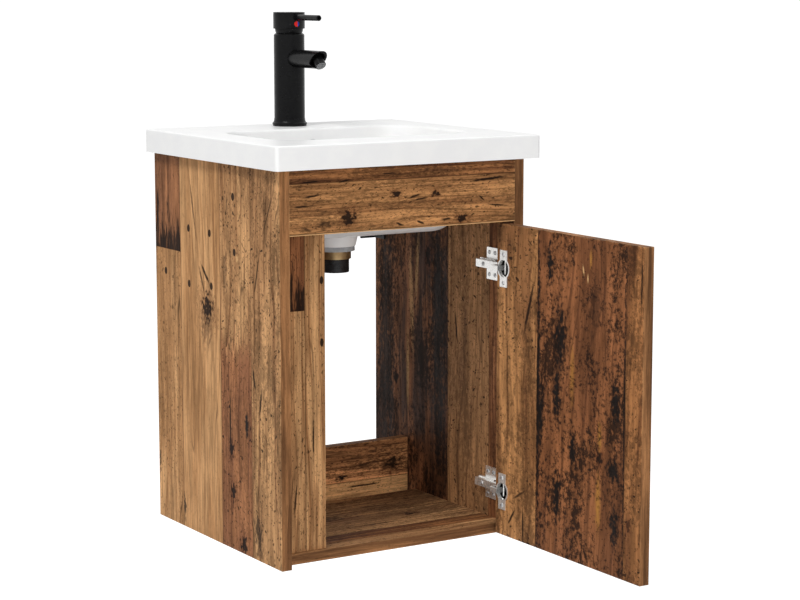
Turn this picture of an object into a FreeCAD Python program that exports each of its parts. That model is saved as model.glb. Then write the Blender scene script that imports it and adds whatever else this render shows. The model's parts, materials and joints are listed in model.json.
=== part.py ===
"""Wall-hung vanity unit: board cabinet, inset door on cup hinges, basin, waste and single-lever tap.

Pieces are drawn from the cabinet's lower front left corner (X right, Y back, Z up) and are then
moved so that the origin is midway between the two wall fixing holes, on the wall plane.
"""

import FreeCAD, Part
import math
import os

# Cabinet
CAB_W = 390.0
CAB_D = 375.0
CAB_H = 540.0
BOARD = 15.0
FASCIA_H = 88.5
BOTTOM_SETBACK = 22.0
BOTTOM_D = 237.0
STILE_SETBACK = 28.0
STILE_W = 69.0
LOWER_RAIL_Y = 282.0
LOWER_RAIL_H = 92.0
UPPER_RAIL_H = 88.0

# Joinery
JOIN_CLEAR = 0.05
DOWEL_R = 4.0
DOWEL_IN_SIDE = 10.0
DOWEL_IN_BOARD = 18.0
CAM_R = 7.5
CAM_DEPTH = 12.0
CAM_INSET = 24.0
CAM_BOLT_R = 2.5
CAM_BOLT_IN_SIDE = 10.0
CAM_EDGE = 22.0
DOWEL_PITCH = 32.0

# Wall brackets
BRACKET_LEG = 28.0
BRACKET_H = 58.0
BRACKET_T = 2.5
BRACKET_TOP_GAP = 3.0
WALL_HOLE_R = 4.0
BRACKET_SCREW_PITCH = 36.0

# Door and its cup hinges
DOOR_W = 332.0
DOOR_T = 15.0
DOOR_SIDE_GAP = 3.0
DOOR_TOP_GAP = 3.0
DOOR_BOTTOM_GAP = 3.0
HINGE_FROM_END = 63.0
PIN_FROM_EDGE = 7.5
PIN_FROM_FACE = 6.5
PIN_R = 1.5
PIN_FIT = 0.06
PIN_HALF = 9.4
CUP_R = 13.0
CUP_EDGE = 3.0
CUP_DEPTH = 12.0
CUP_WALL = 0.8
CUP_FLOOR = 0.5
CUP_FIT = 0.05
FLANGE_T = 1.0
FLANGE_RIM = 1.3
FLANGE_L = 52.0
FLANGE_W = 17.0
CUP_SCREW_PITCH = 40.0
NECK_R = 11.9
NECK_T = 2.6
NECK_W = 7.0
EYE_R = 2.6
ARM_W = 11.0
ARM_T = 7.0
ARM_TAIL = 77.0
PLATE_LINE = 37.0
PLATE_W = 27.0
PLATE_H = 46.0
PLATE_T = 2.0
RAIL_T = 4.0
RAIL_W = 14.0
PLATE_PITCH_Y = 14.0
PLATE_PITCH_Z = 32.0
SCREW_R = 1.9
SCREW_HEAD_R = 3.1
SCREW_HEAD_T = 1.2
SCREW_L = 11.0
DRIVE_R = 0.95
DRIVE_DEPTH = 0.6
ARM_SCREW_BACK = 6.75
OPEN_ANGLE = 90.0

# Basin
BASIN_W = 420.0
BASIN_D = 395.0
SLAB_T = 33.0
SLAB_CORNER_R = 5.0
SLAB_EDGE_R = 2.5
BOWL_W = 310.0
BOWL_D = 200.0
BOWL_BACK = 258.0
BOWL_DEPTH = 132.0
BOWL_TAPER = 18.0
BOWL_CORNER_R = 48.0
BOWL_FLOOR_R = 28.0
BOWL_RIM_R = 4.0
BOWL_WALL = 9.0
DRAIN_Y = 192.0
DRAIN_BOSS_R = 30.0
DRAIN_BOSS_TOP_R = 38.0
DRAIN_BOSS_H = 23.0
OVERFLOW_R = 9.0
OVERFLOW_DROP = 28.0
CHANNEL_R = 4.5
CHANNEL_SETBACK = 8.0
CHANNEL_FLOOR = 3.0
RIB_W = 26.0
RIB_WALL = 6.0
TAP_POCKET_W = 96.0
TAP_POCKET_D = 66.0
TAP_DECK_T = 15.0
TAP_HOLE_R = 17.5

# Waste
TAIL_R = 21.0
TAIL_BORE = 17.5
TAIL_BELOW_BOSS = 38.0
TAIL_END_R = 20.5
WASTE_RIM_R = 31.0
WASTE_RIM_T = 3.0
WASTE_FIT = 0.5
SEAL_T = 1.5
PLUG_R = 28.5
PLUG_T = 4.0
PLUG_LIFT = 8.0
PLUG_STEM_R = 5.0
PLUG_FIT = 0.08
PLUG_EDGE_R = 1.3
GUIDE_T = 5.0
GUIDE_DROP = 14.0
PORTS = 6
PORT_R = 4.0
WASHER_R = 29.0
WASHER_T = 7.0
WASHER_FLAT = 2.1
WASHER_LIP = 7.5
NUT_R = 23.5
NUT_T = 11.5
THREAD_FIT = 0.1
RING_LIP = 3.0
RING_T = 1.6

# Tap
TAP_Y = 322.0
COLUMN_R = 22.5
COLUMN_WALL = 4.0
COLUMN_SHOULDER = 2.0
TAP_H = 164.0
HEAD_R = 23.2
HEAD_H = 24.0
HEAD_CHAMFER = 1.2
PIVOT_ABOVE_RIM = 1.0
NECK_GAP = 7.0
DOME_R = 20.7
DOME_GAP = 0.5
DOME_TOP = 10.0
HEAD_ROOF = 8.0
BASE_R = 25.5
BASE_H = 9.0
BASE_FOOT_H = 4.5
BASE_LIP = 1.0
BASE_SEAL_T = 2.0
BASE_SEAL_INSET = 1.0
SPOUT_R = 13.0
SPOUT_BORE = 10.0
SPOUT_Z = 97.0
SPOUT_REACH = 98.0
SPOUT_SOCKET = 3.0
AERATOR_R = 9.6
AERATOR_T = 5.0
NOZZLE_R = 7.8
NOZZLE_L = 12.0
FLOOR_T = 12.0
CARTRIDGE_H = 21.5
CARTRIDGE_FIT = 0.3
SPIGOT_R = 11.0
SPIGOT_L = 14.0
SPIGOT_FIT = 0.08
STEM_W = 8.0
STEM_FIT = 0.4
STEM_SOCKET = 5.0
STEM_BELOW = 5.0
STEM_FLOOR_GAP = 1.4
TILT = 15.0
TILT_PIN_R = 2.0
TILT_PIN_HALF = 12.0
LEVER_R = 4.2
LEVER_COLLAR_R = 5.2
LEVER_COLLAR_L = 5.0
LEVER_DROP = 7.5
LEVER_REACH = 88.0
LEVER_ROOT = 9.0
LEVER_END_BORE = 2.4
LEVER_END_DEPTH = 4.0
MARK_R = 4.0
MARK_T = 1.2
MARK_PROUD = 0.4
MARK_HEIGHT = 6.0
MARK_SPLIT = 1.2
STUD_R = 4.0
STUD_L = 62.0
STUD_IN_BODY = 9.0
STUD_OFFSET = 11.0
CLAMP_R = 24.0
CLAMP_SEAL_T = 3.0
CLAMP_PLATE_T = 2.5
CLAMP_CLEAR = 0.3
CLAMP_SLOT_CLEAR = 1.0
STUD_NUT_R = 7.5
STUD_NUT_T = 8.0
STUD_NUT_SIDES = 6
INLET_R = 4.5
INLET_OFFSET = 9.0
INLET_BACK = 6.0

# Edges are picked by level within this
NEAR = 0.01

# Levels and places that follow from the sizes above
X_MID = CAB_W / 2
INNER_L = BOARD
INNER_R = CAB_W - BOARD
FASCIA_Z = CAB_H - FASCIA_H
UPPER_RAIL_Z = CAB_H - UPPER_RAIL_H
BRACKET_TOP = UPPER_RAIL_Z - BRACKET_TOP_GAP
FIX_Z = BRACKET_TOP - BRACKET_H / 2
FIX_X = BOARD + BRACKET_T + (BRACKET_LEG - BRACKET_T) / 2
DOOR_EDGE = INNER_R - DOOR_SIDE_GAP
DOOR_Z0 = DOOR_BOTTOM_GAP
DOOR_Z1 = FASCIA_Z - DOOR_TOP_GAP
PIN_X = DOOR_EDGE - PIN_FROM_EDGE
PIN_Y = PIN_FROM_FACE
CUP_X = DOOR_EDGE - CUP_EDGE - CUP_R
HINGE_Z = {"lower": DOOR_Z0 + HINGE_FROM_END, "upper": DOOR_Z1 - HINGE_FROM_END}
PLATE_Y = DOOR_T + PLATE_LINE
BASIN_TOP = CAB_H + SLAB_T
BOWL_Y = BOWL_BACK - BOWL_D / 2
BOWL_FLOOR = BASIN_TOP - BOWL_DEPTH
BOSS_Z = BOWL_FLOOR - BOWL_WALL - DRAIN_BOSS_H
DECK_UNDER = BASIN_TOP - TAP_DECK_T
TAP_Z = BASIN_TOP + BASE_SEAL_T
CHANNEL_Z = BOSS_Z + CHANNEL_R + CHANNEL_FLOOR
HEAD_RIM = TAP_Z + TAP_H - HEAD_H
PIVOT_Z = HEAD_RIM + PIVOT_ABOVE_RIM
COLUMN_TOP = HEAD_RIM - NECK_GAP

UP = FreeCAD.Vector(0, 0, 1)
ACROSS = FreeCAD.Vector(1, 0, 0)
BACK = FreeCAD.Vector(0, 1, 0)
TO_FRAME = FreeCAD.Vector(-X_MID, -CAB_D, -FIX_Z)


def at(x, y, z):
    """A point from its three coordinates."""
    return FreeCAD.Vector(x, y, z)


def box(x0, x1, y0, y1, z0, z1):
    """A block between two corners."""
    return Part.makeBox(x1 - x0, y1 - y0, z1 - z0, at(x0, y0, z0))


def rod(start, axis, radius, length):
    """A cylinder from a start point along an axis."""
    return Part.makeCylinder(radius, length, start, axis)


def ring(start, axis, outer, inner, length):
    """A tube from a start point along an axis."""
    return rod(start, axis, outer, length).cut(rod(start, axis, inner, length))


def joined(shapes):
    """One solid from several that meet."""
    shape = shapes[0]
    if len(shapes) > 1:
        shape = shape.fuse(shapes[1:])
    return shape.removeSplitter()


def without(shape, cutters):
    """A shape less several cutters."""
    return shape.cut(cutters) if cutters else shape


def save(name, shape):
    """Write one node, moved to the wall frame."""
    moved = shape.copy()
    moved.translate(TO_FRAME)
    moved.exportStep("parts/" + name + ".step")


def rounded(width, depth, radius, x, y, z):
    """A rounded rectangle as a closed wire, centred on x and y."""
    w, d = width / 2, depth / 2
    corners = [(w, d, 0), (-w, d, 90), (-w, -d, 180), (w, -d, 270)]
    arcs = []
    for cx, cy, start in corners:
        mid = at(x + math.copysign(abs(cx) - radius, cx), y + math.copysign(abs(cy) - radius, cy), z)
        circle = Part.Circle(mid, UP, radius)
        arcs.append(Part.Arc(circle, math.radians(start), math.radians(start + 90)).toShape())
    edges = []
    for i, arc in enumerate(arcs):
        following = arcs[(i + 1) % len(arcs)]
        edges += [arc, Part.makeLine(arc.Vertexes[-1].Point, following.Vertexes[0].Point)]
    return Part.Wire(edges)


def tapered_bowl(grow, floor):
    """A rounded tub from the slab's top to a floor level, grown outwards all round."""
    drop = BASIN_TOP - floor
    shrink = BOWL_TAPER * drop / BOWL_DEPTH
    top = rounded(BOWL_W + 2 * grow, BOWL_D + 2 * grow, BOWL_CORNER_R + grow, X_MID, BOWL_Y, BASIN_TOP)
    low = rounded(
        BOWL_W + 2 * grow - 2 * shrink,
        BOWL_D + 2 * grow - 2 * shrink,
        BOWL_CORNER_R + grow - shrink / 2,
        X_MID,
        BOWL_Y,
        floor,
    )
    tub = Part.makeLoft([low, top], True, True)
    edges = [e for e in tub.Edges if abs(e.BoundBox.ZMax - floor) < NEAR]
    return tub.makeFillet(BOWL_FLOOR_R + grow, edges)


def joint_rows():
    """Fastener rows for each board that meets both sides: kind, y, z and the face a cam opens on."""
    mid = BOARD / 2
    bottom_back = BOTTOM_SETBACK + BOTTOM_D
    rows = {"bottom_panel": [], "front_fascia": [], "lower_back_rail": [], "upper_back_rail": []}
    for y in (BOTTOM_SETBACK + CAM_EDGE, bottom_back - CAM_EDGE):
        rows["bottom_panel"].append(("cam", y, mid, -UP))
    rows["bottom_panel"].append(("dowel", BOTTOM_SETBACK + CAM_EDGE + DOWEL_PITCH, mid, None))
    rows["bottom_panel"].append(("dowel", bottom_back - CAM_EDGE - DOWEL_PITCH, mid, None))
    for name, y, z0, z1, face in (
        ("front_fascia", mid, FASCIA_Z, CAB_H, BACK),
        ("lower_back_rail", LOWER_RAIL_Y + mid, 0.0, LOWER_RAIL_H, BACK),
        ("upper_back_rail", CAB_D - mid, UPPER_RAIL_Z, CAB_H, -BACK),
    ):
        rows[name].append(("cam", y, z0 + CAM_EDGE, face))
        rows[name].append(("dowel", y, z1 - CAM_EDGE, None))
    return rows


def joinery(rows, x_face, inward):
    """Dowels, cam bolts and cam locks at one side panel, with the cutters that seat them."""
    axis = ACROSS * inward
    dowels, bolts, locks, holes = [], [], [], []
    for kind, y, z, face in rows:
        mouth = at(x_face, y, z)
        if kind == "dowel":
            length = DOWEL_IN_SIDE + DOWEL_IN_BOARD
            dowels.append(rod(mouth - axis * DOWEL_IN_SIDE, axis, DOWEL_R, length))
            start = mouth - axis * (DOWEL_IN_SIDE + JOIN_CLEAR)
            holes.append(rod(start, axis, DOWEL_R + JOIN_CLEAR, length + 2 * JOIN_CLEAR))
            continue
        length = CAM_BOLT_IN_SIDE + CAM_INSET
        start = mouth - axis * CAM_BOLT_IN_SIDE
        bolts.append(rod(start, axis, CAM_BOLT_R, length))
        slack = rod(start - axis * JOIN_CLEAR, axis, CAM_BOLT_R + JOIN_CLEAR, length + 2 * JOIN_CLEAR)
        seat = mouth + axis * CAM_INSET + face * (BOARD / 2 - CAM_DEPTH)
        locks.append(rod(seat, face, CAM_R, CAM_DEPTH).cut(slack))
        holes += [slack, rod(seat, face, CAM_R + JOIN_CLEAR, CAM_DEPTH)]
    return dowels, bolts, locks, holes


def bracket(x_face, inward):
    """A wall bracket: one leg on the side panel, one on the wall, with its screws."""
    z0, z1 = BRACKET_TOP - BRACKET_H, BRACKET_TOP
    near = sorted((x_face, x_face + inward * BRACKET_T))
    far = sorted((x_face, x_face + inward * BRACKET_LEG))
    legs = joined([
        box(near[0], near[1], CAB_D - BRACKET_LEG, CAB_D, z0, z1),
        box(far[0], far[1], CAB_D - BRACKET_T, CAB_D, z0, z1),
    ])
    hole_x = x_face + inward * (FIX_X - BOARD)
    cutters = [rod(at(hole_x, CAB_D - BRACKET_LEG, FIX_Z), BACK, WALL_HOLE_R, BRACKET_LEG)]
    screws, pilots = [], []
    for side in (-1, 1):
        seat = at(x_face + inward * BRACKET_T, CAB_D - BRACKET_LEG / 2 - BRACKET_T, FIX_Z)
        seat.z += side * BRACKET_SCREW_PITCH / 2
        screw, pilot = wood_screw(seat, ACROSS * -inward)
        screws.append(screw)
        pilots.append(pilot)
    return without(legs, cutters + pilots), screws, pilots


def wood_screw(seat, drive):
    """A pan-head screw seated on a face and driven along an axis, with its hole cutter."""
    head = rod(seat - drive * SCREW_HEAD_T, drive, SCREW_HEAD_R, SCREW_HEAD_T)
    recess = rod(seat - drive * SCREW_HEAD_T, drive, DRIVE_R, DRIVE_DEPTH)
    screw = joined([head, rod(seat, drive, SCREW_R, SCREW_L)]).cut(recess)
    pilot = rod(seat, drive, SCREW_R + JOIN_CLEAR, SCREW_L + JOIN_CLEAR)
    return screw, pilot


def hinge_plate(z):
    """The cross-shaped mounting plate on the right side panel, its screws and their pilot holes."""
    x_base = INNER_R - PLATE_T
    y0, y1 = PLATE_Y - PLATE_W / 2, PLATE_Y + PLATE_W / 2
    base = box(x_base, INNER_R, y0, y1, z - PLATE_H / 2, z + PLATE_H / 2)
    rail = box(x_base - RAIL_T, x_base, y0, ARM_TAIL, z - RAIL_W / 2, z + RAIL_W / 2)
    screws, pilots = [], []
    for dy in (-PLATE_PITCH_Y / 2, PLATE_PITCH_Y / 2):
        for dz in (-PLATE_PITCH_Z / 2, PLATE_PITCH_Z / 2):
            screw, pilot = wood_screw(at(x_base, PLATE_Y + dy, z + dz), ACROSS)
            screws.append(screw)
            pilots.append(pilot)
    return without(joined([base, rail]), pilots), screws, pilots


def hinge_arm(z):
    """The fixed arm: a body on the plate's rail, a gooseneck round the door's edge and the pin eye."""
    x_seat = INNER_R - PLATE_T - RAIL_T
    y_in, y_out = PIN_Y + NECK_R, PIN_Y + NECK_R + NECK_T
    x_in, x_out = PIN_X - NECK_R, PIN_X - NECK_R - NECK_T
    low, high = z - NECK_W / 2, z + NECK_W / 2
    body = box(x_seat - ARM_T, x_seat, y_in, ARM_TAIL, z - ARM_W / 2, z + ARM_W / 2)
    across = box(x_out, x_seat, y_in, y_out, low, high)
    down = box(x_out, x_in, PIN_Y - PIN_R, y_out, low, high)
    reach = box(x_out, PIN_X, PIN_Y - PIN_R, PIN_Y + PIN_R, low, high)
    eye = rod(at(PIN_X, PIN_Y, low), UP, EYE_R, NECK_W)
    arm = joined([body, across, down, reach, eye])
    bore = rod(at(PIN_X, PIN_Y, low), UP, PIN_R + PIN_FIT, NECK_W)
    seat = at(x_seat - ARM_T, PLATE_Y + ARM_SCREW_BACK, z)
    screw = joined([
        rod(seat - ACROSS * SCREW_HEAD_T, ACROSS, SCREW_HEAD_R, SCREW_HEAD_T),
        rod(seat, ACROSS, SCREW_R, ARM_T),
    ])
    hole = rod(seat, ACROSS, SCREW_R + JOIN_CLEAR, ARM_T)
    return without(arm, [bore, hole]), screw


def hinge_cup(z):
    """The cup in the closed door: shell, flange, pin and screws, with the cutters for the door."""
    floor_y = DOOR_T - CUP_DEPTH
    centre = at(CUP_X, floor_y, z)
    shell = rod(centre, BACK, CUP_R - CUP_FIT, CUP_DEPTH)
    half_w, half_l = FLANGE_W / 2, FLANGE_L / 2
    wing = box(CUP_X - half_w, CUP_X + half_w, DOOR_T, DOOR_T + FLANGE_T, z - half_l, z + half_l)
    rim = rod(at(CUP_X, DOOR_T, z), BACK, CUP_R + FLANGE_RIM, FLANGE_T)
    hollow = rod(centre + BACK * CUP_FLOOR, BACK, CUP_R - CUP_WALL, CUP_DEPTH + FLANGE_T)
    pin = rod(at(PIN_X, PIN_Y, z - PIN_HALF), UP, PIN_R, 2 * PIN_HALF)
    pin_hole = rod(at(PIN_X, PIN_Y, z - CUP_R), UP, PIN_R + JOIN_CLEAR, 2 * CUP_R)
    cutters = [rod(centre, BACK, CUP_R, CUP_DEPTH)]
    screws, pilots = [], []
    for side in (-1, 1):
        seat = at(CUP_X, DOOR_T + FLANGE_T, z + side * CUP_SCREW_PITCH / 2)
        head = rod(seat, BACK, SCREW_HEAD_R, SCREW_HEAD_T)
        shank = rod(seat - BACK * SCREW_L, BACK, SCREW_R, SCREW_L)
        screws.append(joined([head, shank]))
        pilot_l = SCREW_L + JOIN_CLEAR
        pilots.append(rod(seat - BACK * pilot_l, BACK, SCREW_R + JOIN_CLEAR, pilot_l))
    cup = without(joined([shell, wing, rim]), [hollow, pin_hole] + pilots)
    return cup, pin, screws, cutters + pilots


def opened(shape):
    """A door piece turned from the closed place to the open one about the hinge pins."""
    turned = shape.copy()
    turned.rotate(at(PIN_X, PIN_Y, 0), UP, OPEN_ANGLE)
    return turned


def make_cabinet():
    """Boards, joinery, wall brackets and the fixed half of the hinges."""
    boards = {
        "bottom_panel": box(INNER_L, INNER_R, BOTTOM_SETBACK, BOTTOM_SETBACK + BOTTOM_D, 0, BOARD),
        "front_fascia": box(INNER_L, INNER_R, 0, BOARD, FASCIA_Z, CAB_H),
        "lower_back_rail": box(INNER_L, INNER_R, LOWER_RAIL_Y, LOWER_RAIL_Y + BOARD, 0, LOWER_RAIL_H),
        "upper_back_rail": box(INNER_L, INNER_R, CAB_D - BOARD, CAB_D, UPPER_RAIL_Z, CAB_H),
    }
    sides = {
        "left": box(0, BOARD, 0, CAB_D, 0, CAB_H),
        "right": box(INNER_R, CAB_W, 0, CAB_D, 0, CAB_H),
    }
    side_cuts = {"left": [], "right": []}
    dowels, bolts, locks = [], [], []
    for name, rows in joint_rows().items():
        for side, x_face, inward in (("left", INNER_L, 1), ("right", INNER_R, -1)):
            new_dowels, new_bolts, new_locks, holes = joinery(rows, x_face, inward)
            dowels += new_dowels
            bolts += new_bolts
            locks += new_locks
            boards[name] = without(boards[name], holes)
            side_cuts[side] += holes
    stile_y = STILE_SETBACK + BOARD / 2
    stile_rows = [
        ("cam", stile_y, BOARD + CAM_EDGE, BACK),
        ("dowel", stile_y, (BOARD + CAB_H) / 2, None),
        ("cam", stile_y, CAB_H - CAM_EDGE, BACK),
    ]
    stile = box(INNER_L, INNER_L + STILE_W, STILE_SETBACK, STILE_SETBACK + BOARD, BOARD, CAB_H)
    new_dowels, new_bolts, new_locks, holes = joinery(stile_rows, INNER_L, 1)
    boards["grip_stile"] = without(stile, holes)
    side_cuts["left"] += holes
    dowels += new_dowels
    bolts += new_bolts
    locks += new_locks

    bracket_screws = []
    for side, x_face, inward in (("left", INNER_L, 1), ("right", INNER_R, -1)):
        angle, screws, pilots = bracket(x_face, inward)
        save("wall_bracket_" + side, angle)
        bracket_screws += screws
        side_cuts[side] += pilots

    plate_screws, arm_screws = [], []
    for level, z in HINGE_Z.items():
        plate, screws, pilots = hinge_plate(z)
        arm, screw = hinge_arm(z)
        save("hinge_plate_" + level, plate)
        save("hinge_arm_" + level, arm)
        plate_screws += screws
        arm_screws.append(screw)
        side_cuts["right"] += pilots

    for name, board in boards.items():
        save(name, board)
    for side, panel in sides.items():
        save(side + "_side_panel", without(panel, side_cuts[side]))
    groups = {
        "dowels": dowels,
        "cam_bolts": bolts,
        "cam_locks": locks,
        "bracket_screws": bracket_screws,
        "plate_screws": plate_screws,
        "arm_screws": arm_screws,
    }
    for name, solids in groups.items():
        save(name, Part.makeCompound(solids))


def make_door():
    """The inset door with its hinge cups, opened square."""
    panel = box(DOOR_EDGE - DOOR_W, DOOR_EDGE, 0, DOOR_T, DOOR_Z0, DOOR_Z1)
    screws = []
    for level, z in HINGE_Z.items():
        cup, pin, cup_screws, cutters = hinge_cup(z)
        half = PIN_HALF + JOIN_CLEAR
        pin_room = rod(at(PIN_X, PIN_Y, z - half), UP, PIN_R + JOIN_CLEAR, 2 * half)
        panel = without(panel, cutters + [pin_room])
        screws += cup_screws
        save("hinge_cup_" + level, opened(cup))
        save("hinge_pin_" + level, opened(pin))
    save("door_panel", opened(panel))
    save("cup_screws", opened(Part.makeCompound(screws)))


def make_basin():
    """The basin slab with its bowl, drain boss, overflow channel and tap hole."""
    y0 = CAB_D - BASIN_D
    slab = box(X_MID - BASIN_W / 2, X_MID + BASIN_W / 2, y0, CAB_D, CAB_H, BASIN_TOP)
    uprights = [e for e in slab.Edges if e.BoundBox.ZLength > SLAB_T / 2]
    slab = slab.makeFillet(SLAB_CORNER_R, uprights)
    rim = [e for e in slab.Edges if abs(e.BoundBox.ZMin - BASIN_TOP) < NEAR]
    slab = slab.makeFillet(SLAB_EDGE_R, rim)
    below = box(0, CAB_W, y0, CAB_D, BOSS_Z, CAB_H)
    outer = tapered_bowl(BOWL_WALL, BOWL_FLOOR - BOWL_WALL).common(below)
    boss_foot = at(X_MID, DRAIN_Y, BOSS_Z)
    boss = Part.makeCone(DRAIN_BOSS_R, DRAIN_BOSS_TOP_R, DRAIN_BOSS_H + BOWL_WALL, boss_foot, UP)
    channel_y = BOWL_BACK + CHANNEL_SETBACK
    rib_y = channel_y + CHANNEL_R + RIB_WALL
    overflow_z = BASIN_TOP - OVERFLOW_DROP
    back_rib = box(X_MID - RIB_W / 2, X_MID + RIB_W / 2, BOWL_Y, rib_y, BOSS_Z, CAB_H)
    foot_rib = box(X_MID - RIB_W / 2, X_MID + RIB_W / 2, DRAIN_Y, rib_y, BOSS_Z, BOWL_FLOOR)
    bowl = tapered_bowl(0.0, BOWL_FLOOR)
    solid = joined([slab, outer, boss, back_rib.cut(box(0, CAB_W, 0, DRAIN_Y, 0, CAB_H)), foot_rib])
    cutters = [
        bowl,
        rod(at(X_MID, DRAIN_Y, BOSS_Z), UP, TAIL_R + WASTE_FIT, BOWL_FLOOR - BOSS_Z),
        rod(at(X_MID, DRAIN_Y, BOWL_FLOOR), UP, WASTE_RIM_R + WASTE_FIT, BOWL_FLOOR_R),
        rod(at(X_MID, channel_y, CHANNEL_Z), UP, CHANNEL_R, overflow_z - CHANNEL_Z),
        rod(at(X_MID, DRAIN_Y, CHANNEL_Z), BACK, CHANNEL_R, channel_y - DRAIN_Y),
        rod(at(X_MID, BOWL_Y, overflow_z), BACK, OVERFLOW_R, channel_y - BOWL_Y),
        box(
            X_MID - TAP_POCKET_W / 2, X_MID + TAP_POCKET_W / 2,
            TAP_Y - TAP_POCKET_D / 2, TAP_Y + TAP_POCKET_D / 2, CAB_H, DECK_UNDER,
        ),
        rod(at(X_MID, TAP_Y, DECK_UNDER), UP, TAP_HOLE_R, TAP_DECK_T),
    ]
    hollowed = without(solid, cutters)
    mouth = box(
        X_MID - BOWL_W / 2 - NEAR, X_MID + BOWL_W / 2 + NEAR,
        BOWL_Y - BOWL_D / 2 - NEAR, BOWL_Y + BOWL_D / 2 + NEAR, BASIN_TOP - NEAR, BASIN_TOP + NEAR,
    ).BoundBox
    bowl_rim = [e for e in hollowed.Edges if mouth.isInside(e.BoundBox)]
    save("basin", hollowed.makeFillet(BOWL_RIM_R, bowl_rim))
    wall_y = BOWL_BACK - BOWL_TAPER * OVERFLOW_DROP / BOWL_DEPTH
    ring_bore = OVERFLOW_R - RING_T
    lip = ring(at(X_MID, wall_y - RING_T, overflow_z), BACK, OVERFLOW_R + RING_LIP, ring_bore, RING_T)
    sleeve_l = channel_y - CHANNEL_R - wall_y
    sleeve_r = OVERFLOW_R - JOIN_CLEAR
    sleeve = ring(at(X_MID, wall_y, overflow_z), BACK, sleeve_r, ring_bore, sleeve_l)
    save("overflow_ring", joined([lip, sleeve]).cut(tub_shell()))


def tub_shell():
    """The basin's wall round the bowl, as a cutter for what seats on the bowl's inside."""
    hole = rod(at(X_MID, BOWL_Y, BASIN_TOP - OVERFLOW_DROP), BACK, OVERFLOW_R, BOWL_D)
    return tapered_bowl(BOWL_WALL, BOWL_FLOOR - BOWL_WALL).cut([tapered_bowl(0.0, BOWL_FLOOR), hole])


def make_waste():
    """The waste: rimmed tail, seals, washer, nut and the lifting plug."""
    axis = at(X_MID, DRAIN_Y, 0)
    seal_z = BOWL_FLOOR
    rim_z = seal_z + SEAL_T
    tail_z = BOSS_Z - TAIL_BELOW_BOSS
    rim = rod(axis + UP * rim_z, UP, WASTE_RIM_R, WASTE_RIM_T)
    washer_z = BOSS_Z - WASHER_T
    nut_z = washer_z - NUT_T
    tail = rod(axis + UP * tail_z, UP, TAIL_END_R, nut_z - tail_z)
    thread = rod(axis + UP * nut_z, UP, TAIL_R, rim_z - nut_z)
    guide_z = rim_z - GUIDE_DROP
    mouth = rod(axis + UP * (guide_z + GUIDE_T), UP, TAIL_BORE, rim_z + WASTE_RIM_T - guide_z - GUIDE_T)
    drain = rod(axis + UP * tail_z, UP, TAIL_BORE, guide_z - tail_z)
    cutters = [mouth, drain, rod(axis + UP * guide_z, UP, PLUG_STEM_R + PLUG_FIT, GUIDE_T)]
    for i in range(PORTS):
        turn = math.tau * i / PORTS
        away = at(math.cos(turn), math.sin(turn), 0) * ((TAIL_BORE + PLUG_STEM_R) / 2)
        cutters.append(rod(axis + away + UP * guide_z, UP, PORT_R, GUIDE_T))
    cutters.append(rod(axis + UP * CHANNEL_Z, BACK, CHANNEL_R, TAIL_R))
    save("waste_body", without(joined([rim, tail, thread]), cutters))
    save("waste_rim_seal", ring(axis + UP * seal_z, UP, WASTE_RIM_R - SEAL_T, TAIL_R + THREAD_FIT, SEAL_T))
    plug_z = rim_z + WASTE_RIM_T + JOIN_CLEAR
    crown = rod(axis + UP * plug_z, UP, PLUG_R, PLUG_T)
    crown_edge = [e for e in crown.Edges if e.BoundBox.ZMin > plug_z + PLUG_T - NEAR]
    crown = crown.makeFillet(PLUG_EDGE_R, crown_edge)
    stem_z = guide_z - PLUG_LIFT
    plug = joined([crown, rod(axis + UP * stem_z, UP, PLUG_STEM_R, plug_z - stem_z)])
    save("waste_plug", plug)
    cone_z = washer_z + WASHER_FLAT
    cone = Part.makeCone(WASHER_R, TAIL_R + WASHER_LIP, WASHER_T - WASHER_FLAT, axis + UP * cone_z, UP)
    washer = joined([cone, rod(axis + UP * washer_z, UP, WASHER_R, WASHER_FLAT)])
    save("waste_washer", washer.cut(rod(axis + UP * washer_z, UP, TAIL_R + THREAD_FIT, WASHER_T)))
    save("waste_nut", ring(axis + UP * nut_z, UP, NUT_R, TAIL_R + THREAD_FIT, NUT_T))


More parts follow.
